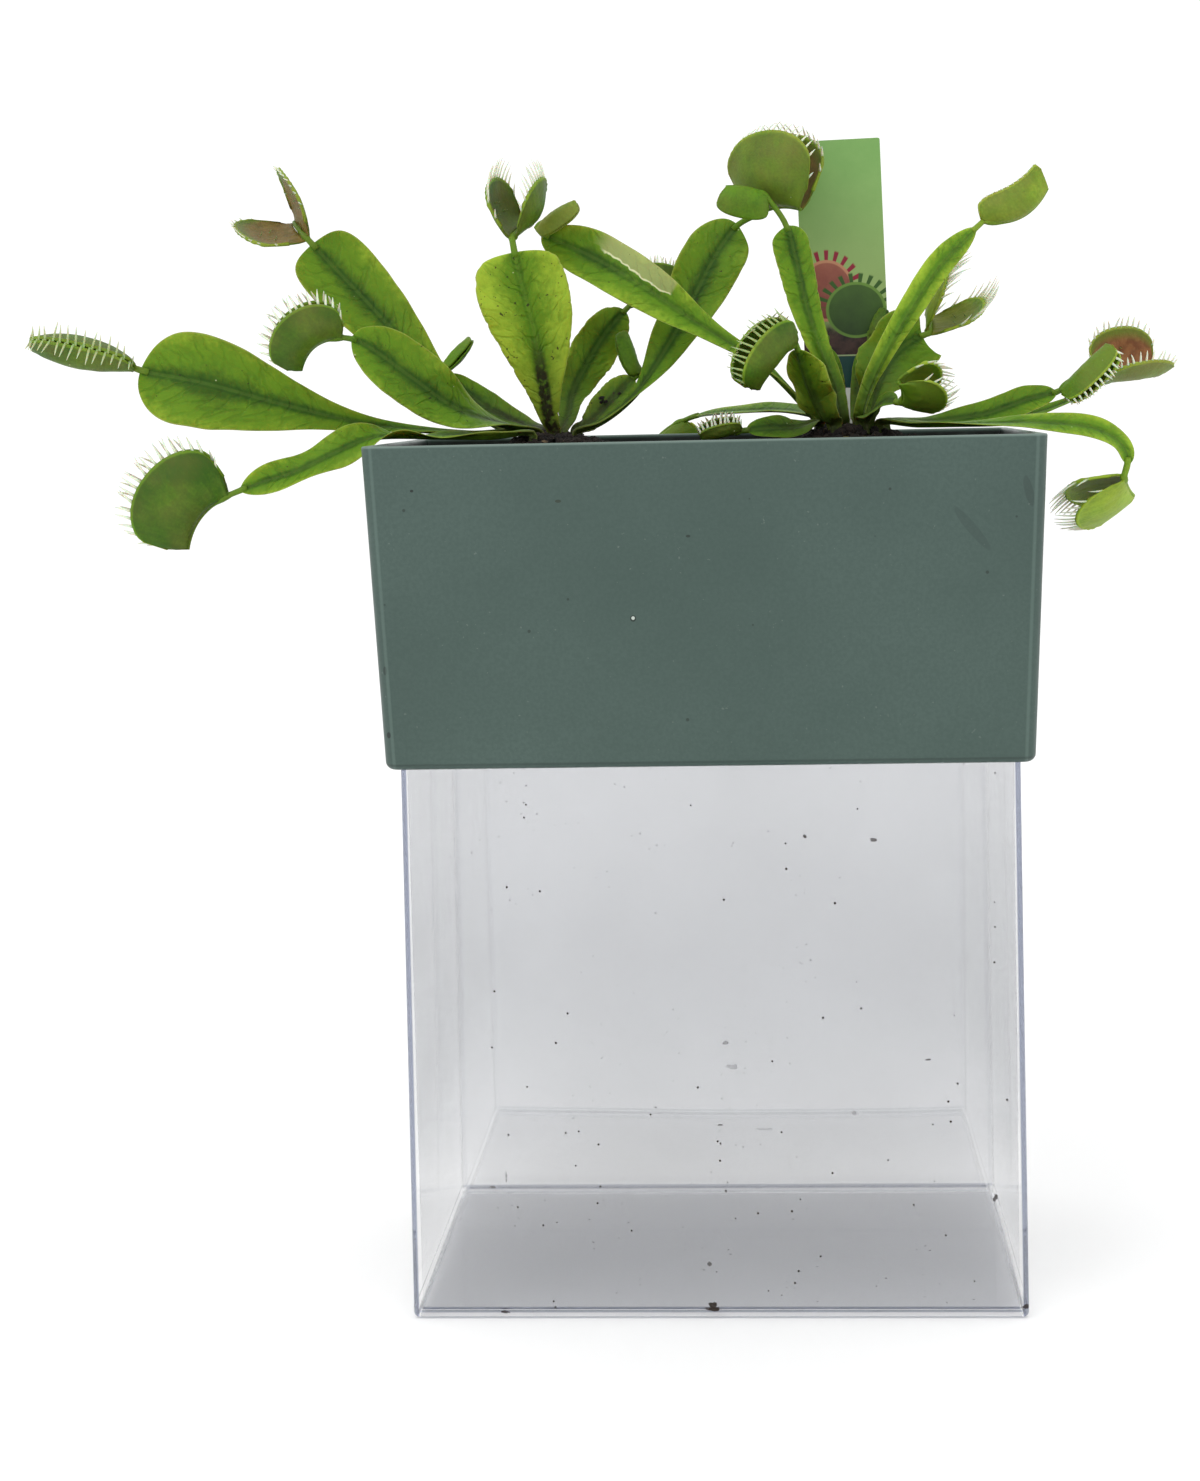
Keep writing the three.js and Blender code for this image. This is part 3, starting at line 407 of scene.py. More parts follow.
class Shader:
    """A Principled material."""

    def __init__(self, name, **settings):
        self.material = bpy.data.materials.new(name)
        self.material.use_nodes = True
        self.tree = self.material.node_tree
        self.surface = self.tree.nodes["Principled BSDF"]
        self.colour = None
        for socket, value in settings.items():
            self.surface.inputs[socket.replace("_", " ")].default_value = value

    def add(self, kind, inputs, output=0, **settings):
        return add_node(self.tree, kind, inputs, output, **settings)

    def values(self, *names):
        """Values that the mesh carries at each vertex."""
        return [self.add("ShaderNodeAttribute", {}, "Fac", attribute_name=name)
                for name in names]

    def place(self):
        return self.add("ShaderNodeTexCoord", {}, "Object")

    def place_mm(self):
        """The object's own x, y and z in millimetres."""
        scaled = self.add("ShaderNodeVectorMath", {0: self.place(), "Scale": 1 / MM},
                          operation="SCALE")
        first = self.add("ShaderNodeSeparateXYZ", {0: scaled})
        return [Wire(socket) for socket in first.socket.node.outputs]

    def vector(self, x, y):
        return self.add("ShaderNodeCombineXYZ", {0: x, 1: y})

    def grain(self, scale, detail=3.0, roughness=0.5, at=None):
        """Noise from 0 to 1."""
        return self.add("ShaderNodeTexNoise", {"Vector": at or self.place(), "Scale": scale,
                                               "Detail": detail, "Roughness": roughness}, "Fac")

    def uneven(self, scale, detail=3.0, roughness=0.5):
        """Noise about 0."""
        return self.grain(scale, detail, roughness) - 0.5

    def cells(self, scale, feature="F1", at=None):
        """How far it is to the middle, or to the edge, of cells that fill the space."""
        return self.add("ShaderNodeTexVoronoi", {"Vector": at or self.place(), "Scale": scale},
                        "Distance", feature=feature)

    def spot(self, across, up, centre, size, ragged, lean=0.0):
        """1 inside an oval of the given half sizes in millimetres, with an uneven outline."""
        if lean:
            across = across + (up - centre[1]) * lean
        right, above = (across - centre[0]) / size[0], (up - centre[1]) / size[1]
        far = right * right + above * above + self.uneven(1100) * ragged
        return far.below(0.8, 1.1)

    def mix(self, share, first, second, blend="MIX"):
        return self.add("ShaderNodeMix", {"Factor": share, 6: as_colour(first),
                                          7: as_colour(second)}, 2,
                        data_type="RGBA", blend_type=blend)

    def layer(self, share, colour, blend="MIX"):
        """Lays another colour over a share of the colour so far."""
        self.colour = self.mix(share, self.colour, colour, blend)

    def paint(self, socket, wire):
        self.tree.links.new(wire.socket, self.surface.inputs[socket])

    def finish(self, height, distance, strength):
        """Puts the colour and the relief on the surface."""
        self.paint("Base Color", self.colour)
        self.paint("Normal", self.add("ShaderNodeBump", {"Height": height, "Distance": distance,
                                                         "Strength": strength}))
        return self.material


DARK_GREEN, MID_GREEN, LIGHT_GREEN = (47, 82, 10), (88, 128, 20), (150, 180, 50)


def green(shader, tone):
    """The plants' range of greens, from 0, dark, to 1, yellow-green."""
    low = shader.mix(tone.ramp(0.0, 0.5), DARK_GREEN, MID_GREEN)
    return shader.mix(tone.ramp(0.5, 1.0), low, LIGHT_GREEN)


def add_pale_specks(shader):
    """A few tiny light specks, in loose groups."""
    groups = shader.grain(55, 1).ramp(0.52, 0.56)
    shader.layer(shader.cells(230).below(0.03, 0.055) * groups * 0.75, (186, 196, 150))


def blade_material(name="leaf_blade", flap=None):
    """Skin of a leaf stalk. A flap is a bent-over stretch of the upper half, only painted: lighter
    as painted sheen, with a painted highlight along its crease.
    """
    shader = Shader(name, Roughness=0.5, Specular_IOR_Level=0.14, Subsurface_Weight=0.12,
                    Subsurface_Scale=0.002)
    along, across, edge, tone, dirt = shader.values(*Skin.VALUES)
    away, drift = abs(across), shader.uneven(240, 2)

    # Veins run forwards and outwards from the midrib, in a wide net and a fine one.
    slant = along - away * 0.9 + drift * 4.5
    sway = across + drift * -3.0
    faded = shader.grain(130, 2).ramp(0.36, 0.58, 0.25, 1.0)
    wide_net = shader.cells(1.0, "DISTANCE_TO_EDGE", shader.vector(slant * 0.24, sway * 0.17))
    fine_net = shader.cells(0.7, "DISTANCE_TO_EDGE", shader.vector(slant, sway))
    veins, fine_veins = wide_net.below(0.02, 0.14) * faded, fine_net.below(0.03, 0.2) * faded

    mottle = shader.uneven(650, 3, 0.6)
    tone = (tone + (edge - 0.45) * 0.42 + shader.uneven(75, 4, 0.6) * 0.75 + mottle * 0.35
            - edge.below(0.0, 0.42) * 0.22).clamped()
    shader.colour = green(shader, tone)
    beside_rib = away.line(0.85, 0.1, 0.4)
    shade = (veins * 0.27 + fine_veins * 0.12 + beside_rib * 0.25).clamped()
    shader.layer(shade, (0.3, 0.45, 0.28, 1), "MULTIPLY")
    shader.layer(away.below(0.2, 0.6, 0.08), (132, 148, 70))
    shader.layer(edge.ramp(0.955, 0.99) * 0.45, (160, 176, 92))
    if flap:
        start, stop, crease_at = flap
        bent = across + drift * 3.0 + (along - start) * -0.06
        begun = along.ramp(start, start + 1.0)
        fold_sheen = bent.ramp(crease_at, crease_at + 0.3) * begun * along.below(stop, stop + 6.0)
        # Painted sheen: the bent-over stretch is painted lighter.
        shader.layer(fold_sheen * 0.6, (160, 164, 112))
        # Painted highlight along the crease.
        crease = bent.line(crease_at, 0.05, 0.3) * begun * along.below(stop, stop + 3.0, 0.8)
        shader.layer(crease, (222, 222, 180))

    # Darker and browner towards the foot: partly the stalks' own colour near the soil, partly
    # painted shade where they crowd together.
    foot = along.below(3.0, 16.0, 0.75).larger(along.below(6.0, 32.0, 0.45))
    shader.layer(foot, (54, 52, 30))
    grimy = (along.below(14.0, 36.0) * away.below(0.9, 2.2) * shader.grain(500).ramp(0.3, 0.55)
             * dirt)
    shader.layer(grimy.math("MINIMUM", 0.92), (34, 27, 20))
    bits = (shader.grain(800, 2) + dirt * 0.05).ramp(0.73, 0.77)
    shader.layer(bits * 0.85, (40, 32, 20))
    add_pale_specks(shader)
    return shader.finish(veins * -0.9 + mottle, 0.0003, 0.6)


def trap_material():
    shader = Shader("trap_lobe", Roughness=0.5, Specular_IOR_Level=0.18, Subsurface_Weight=0.15,
                    Subsurface_Scale=0.002)
    along, across, inner, tone, blush = shader.values(*Skin.VALUES)
    streak = shader.grain(1.0, 4, 0.6, shader.vector(along * 1.1, across * 1.6))
    stipple = shader.uneven(1500, 2)
    tone = (tone + shader.uneven(110) * 0.5 + (streak - 0.5) * 0.3 + stipple * 0.25
            + across.below(0.0, 0.5, 0.06) + across.ramp(0.945, 0.99) * 0.45).clamped()
    shader.colour = green(shader, tone)
    shader.layer(shader.grain(95).ramp(0.3, 0.7, 0.0, 0.25) + blush * 0.35, (122, 106, 58))
    red = shader.mix(shader.grain(420).ramp(0.35, 0.65), (112, 58, 42), (140, 88, 58))
    shader.layer(inner.ramp(0.4, 0.6) * blush * across.below(0.7, 0.95), red)
    dots = shader.cells(420).below(0.08, 0.14) * shader.grain(170, 1).ramp(0.6, 0.66)
    shader.layer(dots * 0.3, (52, 56, 26))
    add_pale_specks(shader)
    return shader.finish(streak + stipple, 0.0002, 0.4)


def tooth_material():
    shader = Shader("trap_tooth", Roughness=0.4, Subsurface_Weight=0.3,
                    Subsurface_Scale=0.0015, Alpha=0.8)
    along, tone = shader.values("along", "tone")
    shader.colour = green(shader, (tone + 0.55).clamped())
    shader.layer(along.ramp(-0.1, 0.4), (226, 231, 208))
    return shader.finish(shader.grain(2500, 1), 0.0001, 0.3)


def soil_material():
    shader = Shader("potting_soil", Roughness=0.95)
    coarse, fine = shader.grain(180, 6, 0.7), shader.grain(1200, 4, 0.7)
    shader.colour = shader.mix(coarse.ramp(0.35, 0.7), (15, 12, 10), (50, 38, 28))
    shader.layer(fine.ramp(0.6, 0.7), (92, 70, 48))
    shader.layer(shader.cells(150).below(0.1, 0.14) * 0.6, (148, 122, 88))
    return shader.finish(coarse + fine, 0.002, 1.0)


def pot_material():
    shader = Shader("planter_plastic", Specular_IOR_Level=0.3)
    x, y, z = shader.place_mm()
    shader.colour = shader.mix(shader.grain(14, 4).ramp(0.3, 0.7), (61, 79, 73), (69, 87, 81))
    shader.layer(shader.grain(1100, 3, 0.6).ramp(0.3, 0.7, 0.0, 0.35), (52, 70, 64))
    shader.layer(shader.grain(900, 2).ramp(0.72, 0.78) * 0.3, (118, 128, 122))
    shader.layer(shader.cells(90).below(0.03, 0.045) * 0.7, (36, 44, 40))
    front_y = -POT["bottom_depth"] / 2
    front = y.below(front_y + 4, front_y + 6)
    for centre, size, lean, strength, colour in POT_MARKS:
        shader.layer(shader.spot(x, z, centre, size, 0.8, lean) * front * strength, colour)
    # Painted highlights: lighter vertical lines on the front where its flat face turns into the
    # rounded corners.
    flat_half = (z - POT_BOTTOM) * POT_FLARE + (POT["bottom_width"] / 2 - POT["corner"])
    shader.layer((abs(x) - flat_half).line(0.9, 0.15, 0.5) * front * 0.28, (104, 124, 116))
    # Painted highlight: a lighter band along the top of the rim.
    shader.layer(z.ramp(POT_RIM - 0.8, POT_RIM - 0.2, 0.0, 0.5), (128, 146, 138))
    # Painted shade: a dark line around the pot where its foot rounds under.
    shader.layer(z.line(POT_BOTTOM + 1.3, 0.1, 0.4) * 0.45, (36, 48, 44))
    # Painted shade: the inside wall below the rim strip is painted dark and mottled, where shade
    # falls inside the pot.
    [inside_shade] = shader.values("edge")
    shader.layer(inside_shade * shader.grain(200, 4).ramp(0.2, 0.6, 0.75, 1.0), (22, 28, 26))
    shader.paint("Roughness", shader.grain(60, 4).ramp(0.3, 0.75, 0.34, 0.48))
    return shader.finish(shader.grain(1600, 2), 0.00012, 0.35)


def clear_material():
    """Clear plastic, painted clearer towards its foot as painted light; darker, bluer and less
    clear where its sheets are seen edge-on, as painted refraction and, where the floor meets the
    walls, partly a dark joint; with bits of soil stuck to it.
    """
    shader = Shader("clear_plastic", IOR=1.49, Specular_IOR_Level=0.09)
    x, y, z = shader.place_mm()
    wall = BOX["wall"]
    inner_x, inner_y = BOX["width"] / 2 - wall, BOX["depth"] / 2 - wall
    out_x = abs(x).ramp(inner_x - 0.1, inner_x + 0.2)
    out_y = abs(y).ramp(inner_y - 0.1, inner_y + 0.2)
    front = y.below(-inner_y, -inner_y + 0.3)
    # Painted refraction: the plastic is darker and bluer where its sheets are seen edge-on, at the
    # corner posts, more at the front, and along the foot; where the floor meets the walls this
    # line is partly a dark joint as well.
    post = out_x * out_y * y.ramp(-10.0, 10.0, 1.0, 0.35)
    foot = z.below(0.2, 0.6) * out_x.larger(out_y)
    refraction_and_joint_lines = post.larger(z.line(wall + 0.3, 0.2, 0.2) * 0.9).larger(foot)
    cloud = shader.grain(16, 4)
    shader.colour = shader.mix(cloud.ramp(0.3, 0.7), (0.47, 0.48, 0.5, 1), (0.53, 0.54, 0.565, 1))
    shader.layer(refraction_and_joint_lines, (0.12, 0.14, 0.22, 1))
    # Painted light: the plastic is clearer towards its foot, most of all on the front wall and in
    # the floor plate, and a little clearer towards the top, so that the floor inside, shaded by
    # the pot, looks lighter.
    walls = z.ramp(wall, 60.0, 0.12, 0.52)
    walls = walls + (z.ramp(18.0, 60.0, CLEAREST, 0.52) - walls) * front
    body = walls * z.ramp(wall - 0.4, wall + 0.4, 0.2, 1.0) + z.ramp(85.0, 140.0, 0.0, -0.07)
    bits = shader.cells(170).below(0.042, 0.06) * shader.grain(30, 1).ramp(0.46, 0.5)
    for centre, size, strength in BOX_MARKS:
        bits = bits.larger(shader.spot(x, z, centre, size, 4.0) * front * strength)
    shader.layer(bits, (44, 34, 26))
    shader.paint("Alpha", ((body + refraction_and_joint_lines * 0.9).clamped() + bits * 0.9).clamped())
    shader.paint("Transmission Weight", 1.0 - bits)
    shader.paint("Roughness", cloud.ramp(0.4, 0.75, 0.012, 0.06))
    return shader.finish(shader.grain(20, 1), 0.0001, 0.06)


def label_material():
    """A green card with a darker foot band, a pair of fringed shapes and a white stake."""
    shader = Shader("label_card", Roughness=0.35, Specular_IOR_Level=0.25, Coat_Weight=0.05)
    x, _, z = shader.place_mm()
    x, z = x - LABEL["x"], z - LABEL["bottom"]
    mottle = shader.grain(160, 4, 0.6)
    shader.colour = shader.mix(z.ramp(10.0, LABEL["height"]), (154, 176, 108), (106, 152, 80))
    shader.layer(mottle * 0.35, (156, 186, 118))
    ground = shader.mix(mottle.ramp(0.35, 0.6), (28, 24, 20), (76, 54, 48))
    shader.layer((z + mottle * 9.0).below(19.0, 25.0), ground)

    def add_motif(centre, size, body, rim, hair, hairs):
        """An oval with a lighter rim and hairs standing out from its upper edge."""
        right, up = (x - centre[0]) / size[0], (z - centre[1]) / size[1]
        far = (right * right + up * up).math("SQRT")
        comb = (up.math("ARCTAN2", right) * hairs).math("SINE").ramp(0.1, 0.4)
        shader.layer(comb * far.below(1.28, 1.36) * up.ramp(0.0, 0.25), hair)
        inside = shader.mix((mottle * 0.9 + up * 0.3).clamped(), *body)
        inside = shader.mix(far.ramp(0.88, 0.93), inside, rim)
        shader.layer(far.below(0.985, 1.015), inside)

    add_motif((-5.5, 27.0), (7.6, 8.6), ((96, 30, 38), (170, 104, 82)), (188, 132, 100),
              (140, 30, 52), 21)
    add_motif((2.6, 21.5), (8.4, 7.8), ((34, 58, 22), (74, 108, 40)), (104, 140, 58),
              (52, 88, 30), 23)
    shader.layer(z.below(8.5, 8.7), (28, 72, 68))
    shader.layer(z.line(8.9, 0.15, 0.1), (170, 190, 140))
    shader.layer(z.below(-0.3, -0.1), (238, 239, 234))
    return shader.finish(shader.grain(700, 2), 0.0001, 0.1)


def crown_material():
    shader = Shader("crown_scales", Roughness=0.8)
    shader.colour = shader.mix(shader.grain(300, 5), (44, 34, 22), (120, 112, 66))
    return shader.finish(shader.grain(700, 4), 0.0006, 0.8)


# ---------- leaves ----------
def smooth_route(points, samples=240):
    """Even steps along the centripetal Catmull-Rom curve through the points."""
    points = [np.asarray(p, float) for p in points]
    points = [2 * points[0] - points[1], *points, 2 * points[-1] - points[-2]]
    raw = []
    for i in range(1, len(points) - 2):
        p0, p1, p2, p3 = points[i - 1:i + 3]
        d0, d1, d2 = (max(np.linalg.norm(b - a), 1e-4) ** 0.5
                      for a, b in ((p0, p1), (p1, p2), (p2, p3)))
        m1 = ((p1 - p0) / d0 - (p2 - p0) / (d0 + d1) + (p2 - p1) / d1) * d1
        m2 = ((p2 - p1) / d1 - (p3 - p1) / (d1 + d2) + (p3 - p2) / d2) * d1
        for t in np.linspace(0, 1, 60, endpoint=i == len(points) - 3):
            raw.append(p1 + m1 * t + (3 * (p2 - p1) - 2 * m1 - m2) * t ** 2
                       + (2 * (p1 - p2) + m1 + m2) * t ** 3)
    raw = np.array(raw)
    length = np.concatenate([[0], np.cumsum(np.linalg.norm(np.diff(raw, axis=0), axis=1))])
    even = np.linspace(0, length[-1], samples)
    return np.stack([np.interp(even, length, raw[:, k]) for k in range(3)], 1), length[-1]


class Leaf:
    """One leaf's route, blade sections and trap, in millimetres."""

    def __init__(self, facts, crown, root_z):
        self.facts = {**USUAL_LEAF, **facts}
        self.trap = {**USUAL_TRAP, **facts["trap"]}
        self.blade_tone, self.trap_tone, self.redness = facts["look"]
        angle, distance = math.radians(facts["root"][0]), facts["root"][1]
        self.heading = np.array([math.cos(angle), math.sin(angle), 0])
        self.root = np.array([crown["x"], crown["y"], root_z]) + self.heading * distance
        self.up = np.array([0, 0, 1.0])
        lift = self.root + self.up * ROOT_RISE
        self.route, self.length = smooth_route([self.root, lift, *facts["through"]])
        self.blade_share = 1 - self.facts["stalk"] / self.length
        self.start = np.asarray(facts["through"][-1], float)
        self.hinge = unit(np.asarray(self.trap["hinge"], float))
        self.mouth = square_to(self.hinge, np.asarray(self.trap["mouth"], float))
        self.between = np.cross(self.hinge, self.mouth)
        self.wanted = unit(np.asarray(facts["face"], float))

    def centre(self, share):
        spot = share * (len(self.route) - 1)
        low = min(int(spot), len(self.route) - 2)
        return self.route[low] + (self.route[low + 1] - self.route[low]) * (spot - low)

    def heading_at(self, share, step=0.004):
        return unit(self.centre(min(share + step, 1)) - self.centre(max(share - step, 0)))

    def half_width(self, u):
        f = self.facts
        rise = math.sin(min(u / f["peak"], 1) * math.pi / 2) ** f["power"]
        past = max(0, (u - f["peak"]) / (1 - f["peak"]))
        full = ROOT_WIDTH + (f["width"] - ROOT_WIDTH) * rise
        return max(STALK_WIDTH, full * math.sqrt(max(1 - past * past, 0))) / 2

    def axes(self, tangent, u):
        turn = smoothstep(u, *self.facts["turn"])
        at_root = -self.heading * tangent[2] + self.up * max(np.dot(tangent, self.heading), 0)
        face = square_to(tangent, at_root * (1 - turn) + self.wanted * turn)
        return face, np.cross(tangent, face)

    def section(self, centre, tangent, u, half, seed):
        """One ring of a blade: over its upper side from edge to edge, and back below."""
        f = self.facts
        face, side = self.axes(tangent, u)
        fold = math.radians(f["fold"])
        past = min(max((u - f["peak"]) / (1 - f["peak"]), 0), 1)
        forward = f["shoulder"] * math.sin(math.pi * past)
        ripple = f["wave"] * 2 * half / f["width"]
        plate = 0.9 - 0.5 * smoothstep(u, 0, 0.4)
        keel = (0.85 - 0.35 * u) * min(1, half / 1.2)
        top, bottom = [], []
        spread = np.linspace(-1, 1, BLADE_COLUMNS)
        for v in spread:
            sign, away = (1 if v > 0 else -1), abs(v)
            wave = ripple * math.sin(20 * u + 2 * sign) * away ** 2
            wave += 0.16 * half / 5 * wobble(u * 9 + seed, v * 1.6) * away
            uneven = 0.02 * wobble(u * 17, seed + sign)
            uneven += f["lobed"] * wobble(u * 8.3, seed * 1.7 - sign)
            reach = v * half * (1 + uneven * away)
            nick = max(wobble(u * 34, seed + 7.1 * sign), 0) * min(half / 3, 1)
            reach -= sign * f["ragged"] * nick * away ** 6
            middle = (centre + side * reach * math.cos(fold)
                      + face * (away ** 1.25 * half * math.sin(fold) + wave)
                      + tangent * forward * away ** 1.6)
            lateral = abs(reach)
            thick = plate * (1 - 0.55 * away ** 4)
            groove = 0.16 * math.exp(-(lateral / 0.5) ** 2) * (1 if half > 1.5 else 0)
            rib = keel * math.exp(-(lateral / 0.8) ** 2)
            top.append(middle + face * (thick / 2 - groove))
            bottom.append(middle - face * (thick / 2 + rib))
        edge = list(np.abs(spread)) + list(np.abs(spread[::-1]))
        across = list(spread * half) + list(spread[::-1] * half)
        return top + bottom[::-1], edge, across

    def hinge_point(self, s):
        return (self.start + self.hinge * self.trap["length"] * (s + 1) / 2
                + self.mouth * self.trap["sag"] * (1 - s * s))

    def lobe_point(self, side, s, r):
        """Where a lobe's middle sheet is: s goes along the hinge, r from there to the margin."""
        trap = self.trap
        reach = math.sqrt(max(1 - abs(s) ** 2.4, 0))
        near, far = trap["ends"]
        end = near + (far - near) * (s + 1) / 2
        depth = trap["depth"] * (end + (1 - end) * reach)
        depth *= 1 - CORNER_TUCK * smoothstep(abs(s), 0.84, 1) ** 2
        fan, lean = math.radians(trap["fan"]) * s, math.radians(trap["open"])
        ray = self.mouth * math.cos(fan) + self.hinge * math.sin(fan)
        along = ray * math.cos(lean) + self.between * side * math.sin(lean)
        away = self.between * side * math.cos(lean) - ray * math.sin(lean)
        bulge = trap["bulge"] * (1 - BULGE_TAPER * s * s) * math.sin(math.pi * max(r, 0) ** 0.8)
        hinge_half = HINGE_HALF_WIDTH * (1 - HINGE_TAPER * s * s)
        return (self.hinge_point(s) + self.between * side * hinge_half
                + along * depth * r + away * bulge)

    def add_blade(self, skin, seed):
        rings, along, across, edge = [], [], [], []
        stations = [1 - (1 - i / BLADE_ROWS) ** 1.35 for i in range(BLADE_ROWS + 1)]
        for u in stations:
            share = u * self.blade_share
            tangent = self.up if u == 0 else self.heading_at(share)
            ring, ring_edge, ring_across = self.section(
                self.centre(share), tangent, u, self.half_width(u), seed)
            rings.append(ring)
            along += [share * self.length] * len(ring)
            across += ring_across
            edge += ring_edge
        skin.tube(rings, 0, along=along, across=across, edge=edge,
                  tone=self.blade_tone, blush=self.facts["dirt"])

    def add_stalk(self, skin):
        """The midrib goes on as a stalk, and then as the ridge along the trap's hinge."""
        steps = 7
        spots = [self.centre(self.blade_share - 0.02), self.centre(self.blade_share)]
        spots += [self.centre(self.blade_share + (1 - self.blade_share) * i / steps)
                  for i in range(1, steps)]
        spots += [self.hinge_point(s) for s in np.linspace(-1, 1, 20)]
        spots = np.array(spots)
        rings = []
        for i, spot in enumerate(spots):
            tangent = unit(spots[min(i + 1, len(spots) - 1)] - spots[max(i - 1, 0)])
            side = square_to(tangent, self.between + 0.01 * self.mouth)
            deep = np.cross(tangent, side)
            share = i / (len(spots) - 1)
            radius = 0.82 - 0.3 * share + 0.35 * smoothstep(abs(share - 0.36), 0.12, 0)
            rings.append([spot + (side * c * 1.15 + deep * s) * radius for c, s in circle(12)])
        skin.tube(rings, 1, across=0.3, tone=(self.blade_tone + self.trap_tone) / 2)

    def lobe_normal(self, side, s, r, step=0.02):
        over_s = (self.lobe_point(side, min(s + step, 1), r)
                  - self.lobe_point(side, max(s - step, -1), r))
        over_r = self.lobe_point(side, s, r + step) - self.lobe_point(side, s, r - step)
        return unit(np.cross(over_s, over_r)) * side

    def add_lobe(self, skin, side, seed):
        trap = self.trap
        rings, along, across, inner = [], [], [], []
        rows = list(np.linspace(0, 1, LOBE_RINGS + 1))
        # A lobe without teeth has no bright margin, so its values stop short of it.
        shown = rows if trap["teeth"] else [0.93 * r for r in rows]
        for s in np.linspace(-1, 1, LOBE_SPANS + 1):
            outside, inside = [], []
            for r in rows:
                point, normal = self.lobe_point(side, s, r), self.lobe_normal(side, s, r)
                lip = math.exp(-((1 - r) / 0.035) ** 2) * (trap["teeth"] > 0)
                bead = 0.5 + 0.5 * math.cos(math.pi * max(trap["teeth"], 1) * (s + 1))
                thick = 0.62 + lip * (0.15 + 0.4 * bead)
                dimple = 0.12 * wobble(s * 4 + seed, r * 5, side * 3.0)
                outside.append(point + normal * (thick / 2 + dimple))
                inside.append(point - normal * (thick / 2 - dimple))
            margin = self.lobe_point(side, s, 1.0)
            crest = [margin + unit(margin - self.lobe_point(side, s, 0.95)) * 0.3]
            rings.append(outside + crest + inside[::-1])
            along += [s * trap["length"] / 2] * (2 * len(rows) + 1)
            across += shown + [shown[-1]] + shown[::-1]
            inner += [0.0] * len(rows) + [0.5] + [1.0] * len(rows)
        skin.tube(rings, 1, along=along, across=across, edge=inner, tone=self.trap_tone,
                  blush=self.redness)

    def add_spike(self, skin, foot, heading, bend, length, radius, tone, pale):
        """A tooth or hair that tapers and bends over along its length."""
        rings, along = [], []
        for t in np.linspace(0, 1, TOOTH_RINGS):
            spot = foot + heading * length * t + bend * length * t * t
            tangent = unit(heading + bend * 2 * t)
            side = square_to(tangent, square_to(heading, self.hinge))
            deep = np.cross(tangent, side)
            wide = radius * (1 - t) ** 0.8 + 0.07 * (1 + 0.6 * math.sin(math.pi * t))
            rings.append([spot + (side * c + deep * s * 0.7) * wide
                          for c, s in circle(TOOTH_SIDES)])
            along += [t * pale] * TOOTH_SIDES
        skin.tube(rings, 2, along=along, tone=tone)

    def add_teeth(self, skin, side, seed):
        trap = self.trap
        chance = random.Random(seed)
        for i in range(trap["teeth"]):
            s = -1 + (2 * i + (1.3 if side > 0 else 0.7)) / trap["teeth"]
            if abs(s) > 0.97:
                continue
            margin = self.lobe_point(side, s, 1.0)
            outward = unit(margin - self.lobe_point(side, s, 0.9))
            sway = self.hinge * chance.uniform(-0.16, 0.16)
            heading = unit(outward - self.between * trap["curl"] * 0.8 * side + sway)
            bend = (-self.between * side * chance.uniform(0.1, 0.3) * (0.4 + trap["curl"])
                    + sway * 0.6)
            length = trap["tooth"] * (1 - 0.45 * s * s) * chance.uniform(0.86, 1.06)
            self.add_spike(skin, margin - outward * 0.5, heading, bend, length, TOOTH_RADIUS,
                           self.trap_tone, trap["pale"])

    def add_trigger_hairs(self, skin, side):
        for s, r in TRIGGER_HAIRS:
            self.add_spike(skin, self.lobe_point(side, s, r), -self.between * side,
                           self.mouth * 0.2, HAIR_LENGTH, HAIR_RADIUS, 0.0, 0.0)

    def build(self, name, seed, materials):
        skin = Skin()
        self.add_blade(skin, seed)
        self.add_stalk(skin)
        for side in (1, -1):
            self.add_lobe(skin, side, seed)
            self.add_teeth(skin, side, seed * 2 + side)
            if self.trap["open"] > WIDE_OPEN:
                self.add_trigger_hairs(skin, side)
        return skin.build(name + "_grown", materials, name, "leaf")


# ---------- pot, soil and clear box ----------
def rounded_outline(width, depth, radius, z, per_corner=10, per_side=1):
    """A level outline with rounded corners, anticlockwise seen from above."""
    points = []
    for corner in range(4):
        sign_x = 1 if corner in (0, 3) else -1
        sign_y = 1 if corner < 2 else -1
        centre = np.array([sign_x * (width / 2 - radius), sign_y * (depth / 2 - radius), z])
        for step in range(per_corner + 1):
            a = (corner + step / per_corner) * math.pi / 2
            points.append(centre + np.array([math.cos(a), math.sin(a), 0]) * radius)
        run = (width if corner % 2 == 0 else depth) - 2 * radius
        count = max(1, round(per_side * run / 100))
        direction = np.array([(-1, 0, 0), (0, -1, 0), (1, 0, 0), (0, 1, 0)][corner], float)
        last = points[-1]
        points += [last + direction * run * i / count for i in range(1, count)]
    return points


def pot_outline(inset, z, per_corner=10, per_side=1):
    share = (z - POT_BOTTOM) / POT["height"]
    width = POT["bottom_width"] + (POT["top_width"] - POT["bottom_width"]) * share
    depth = POT["bottom_depth"] + (POT["top_depth"] - POT["bottom_depth"]) * share
    return rounded_outline(width - 2 * inset, depth - 2 * inset,
                           max(POT["corner"] - inset, 0.5), z, per_corner, per_side)


def quarter(steps):
    """Sines and cosines of a quarter turn, for rounding an edge."""
    return [(math.sin(a), math.cos(a)) for a in np.linspace(0, math.pi / 2, steps + 1)]


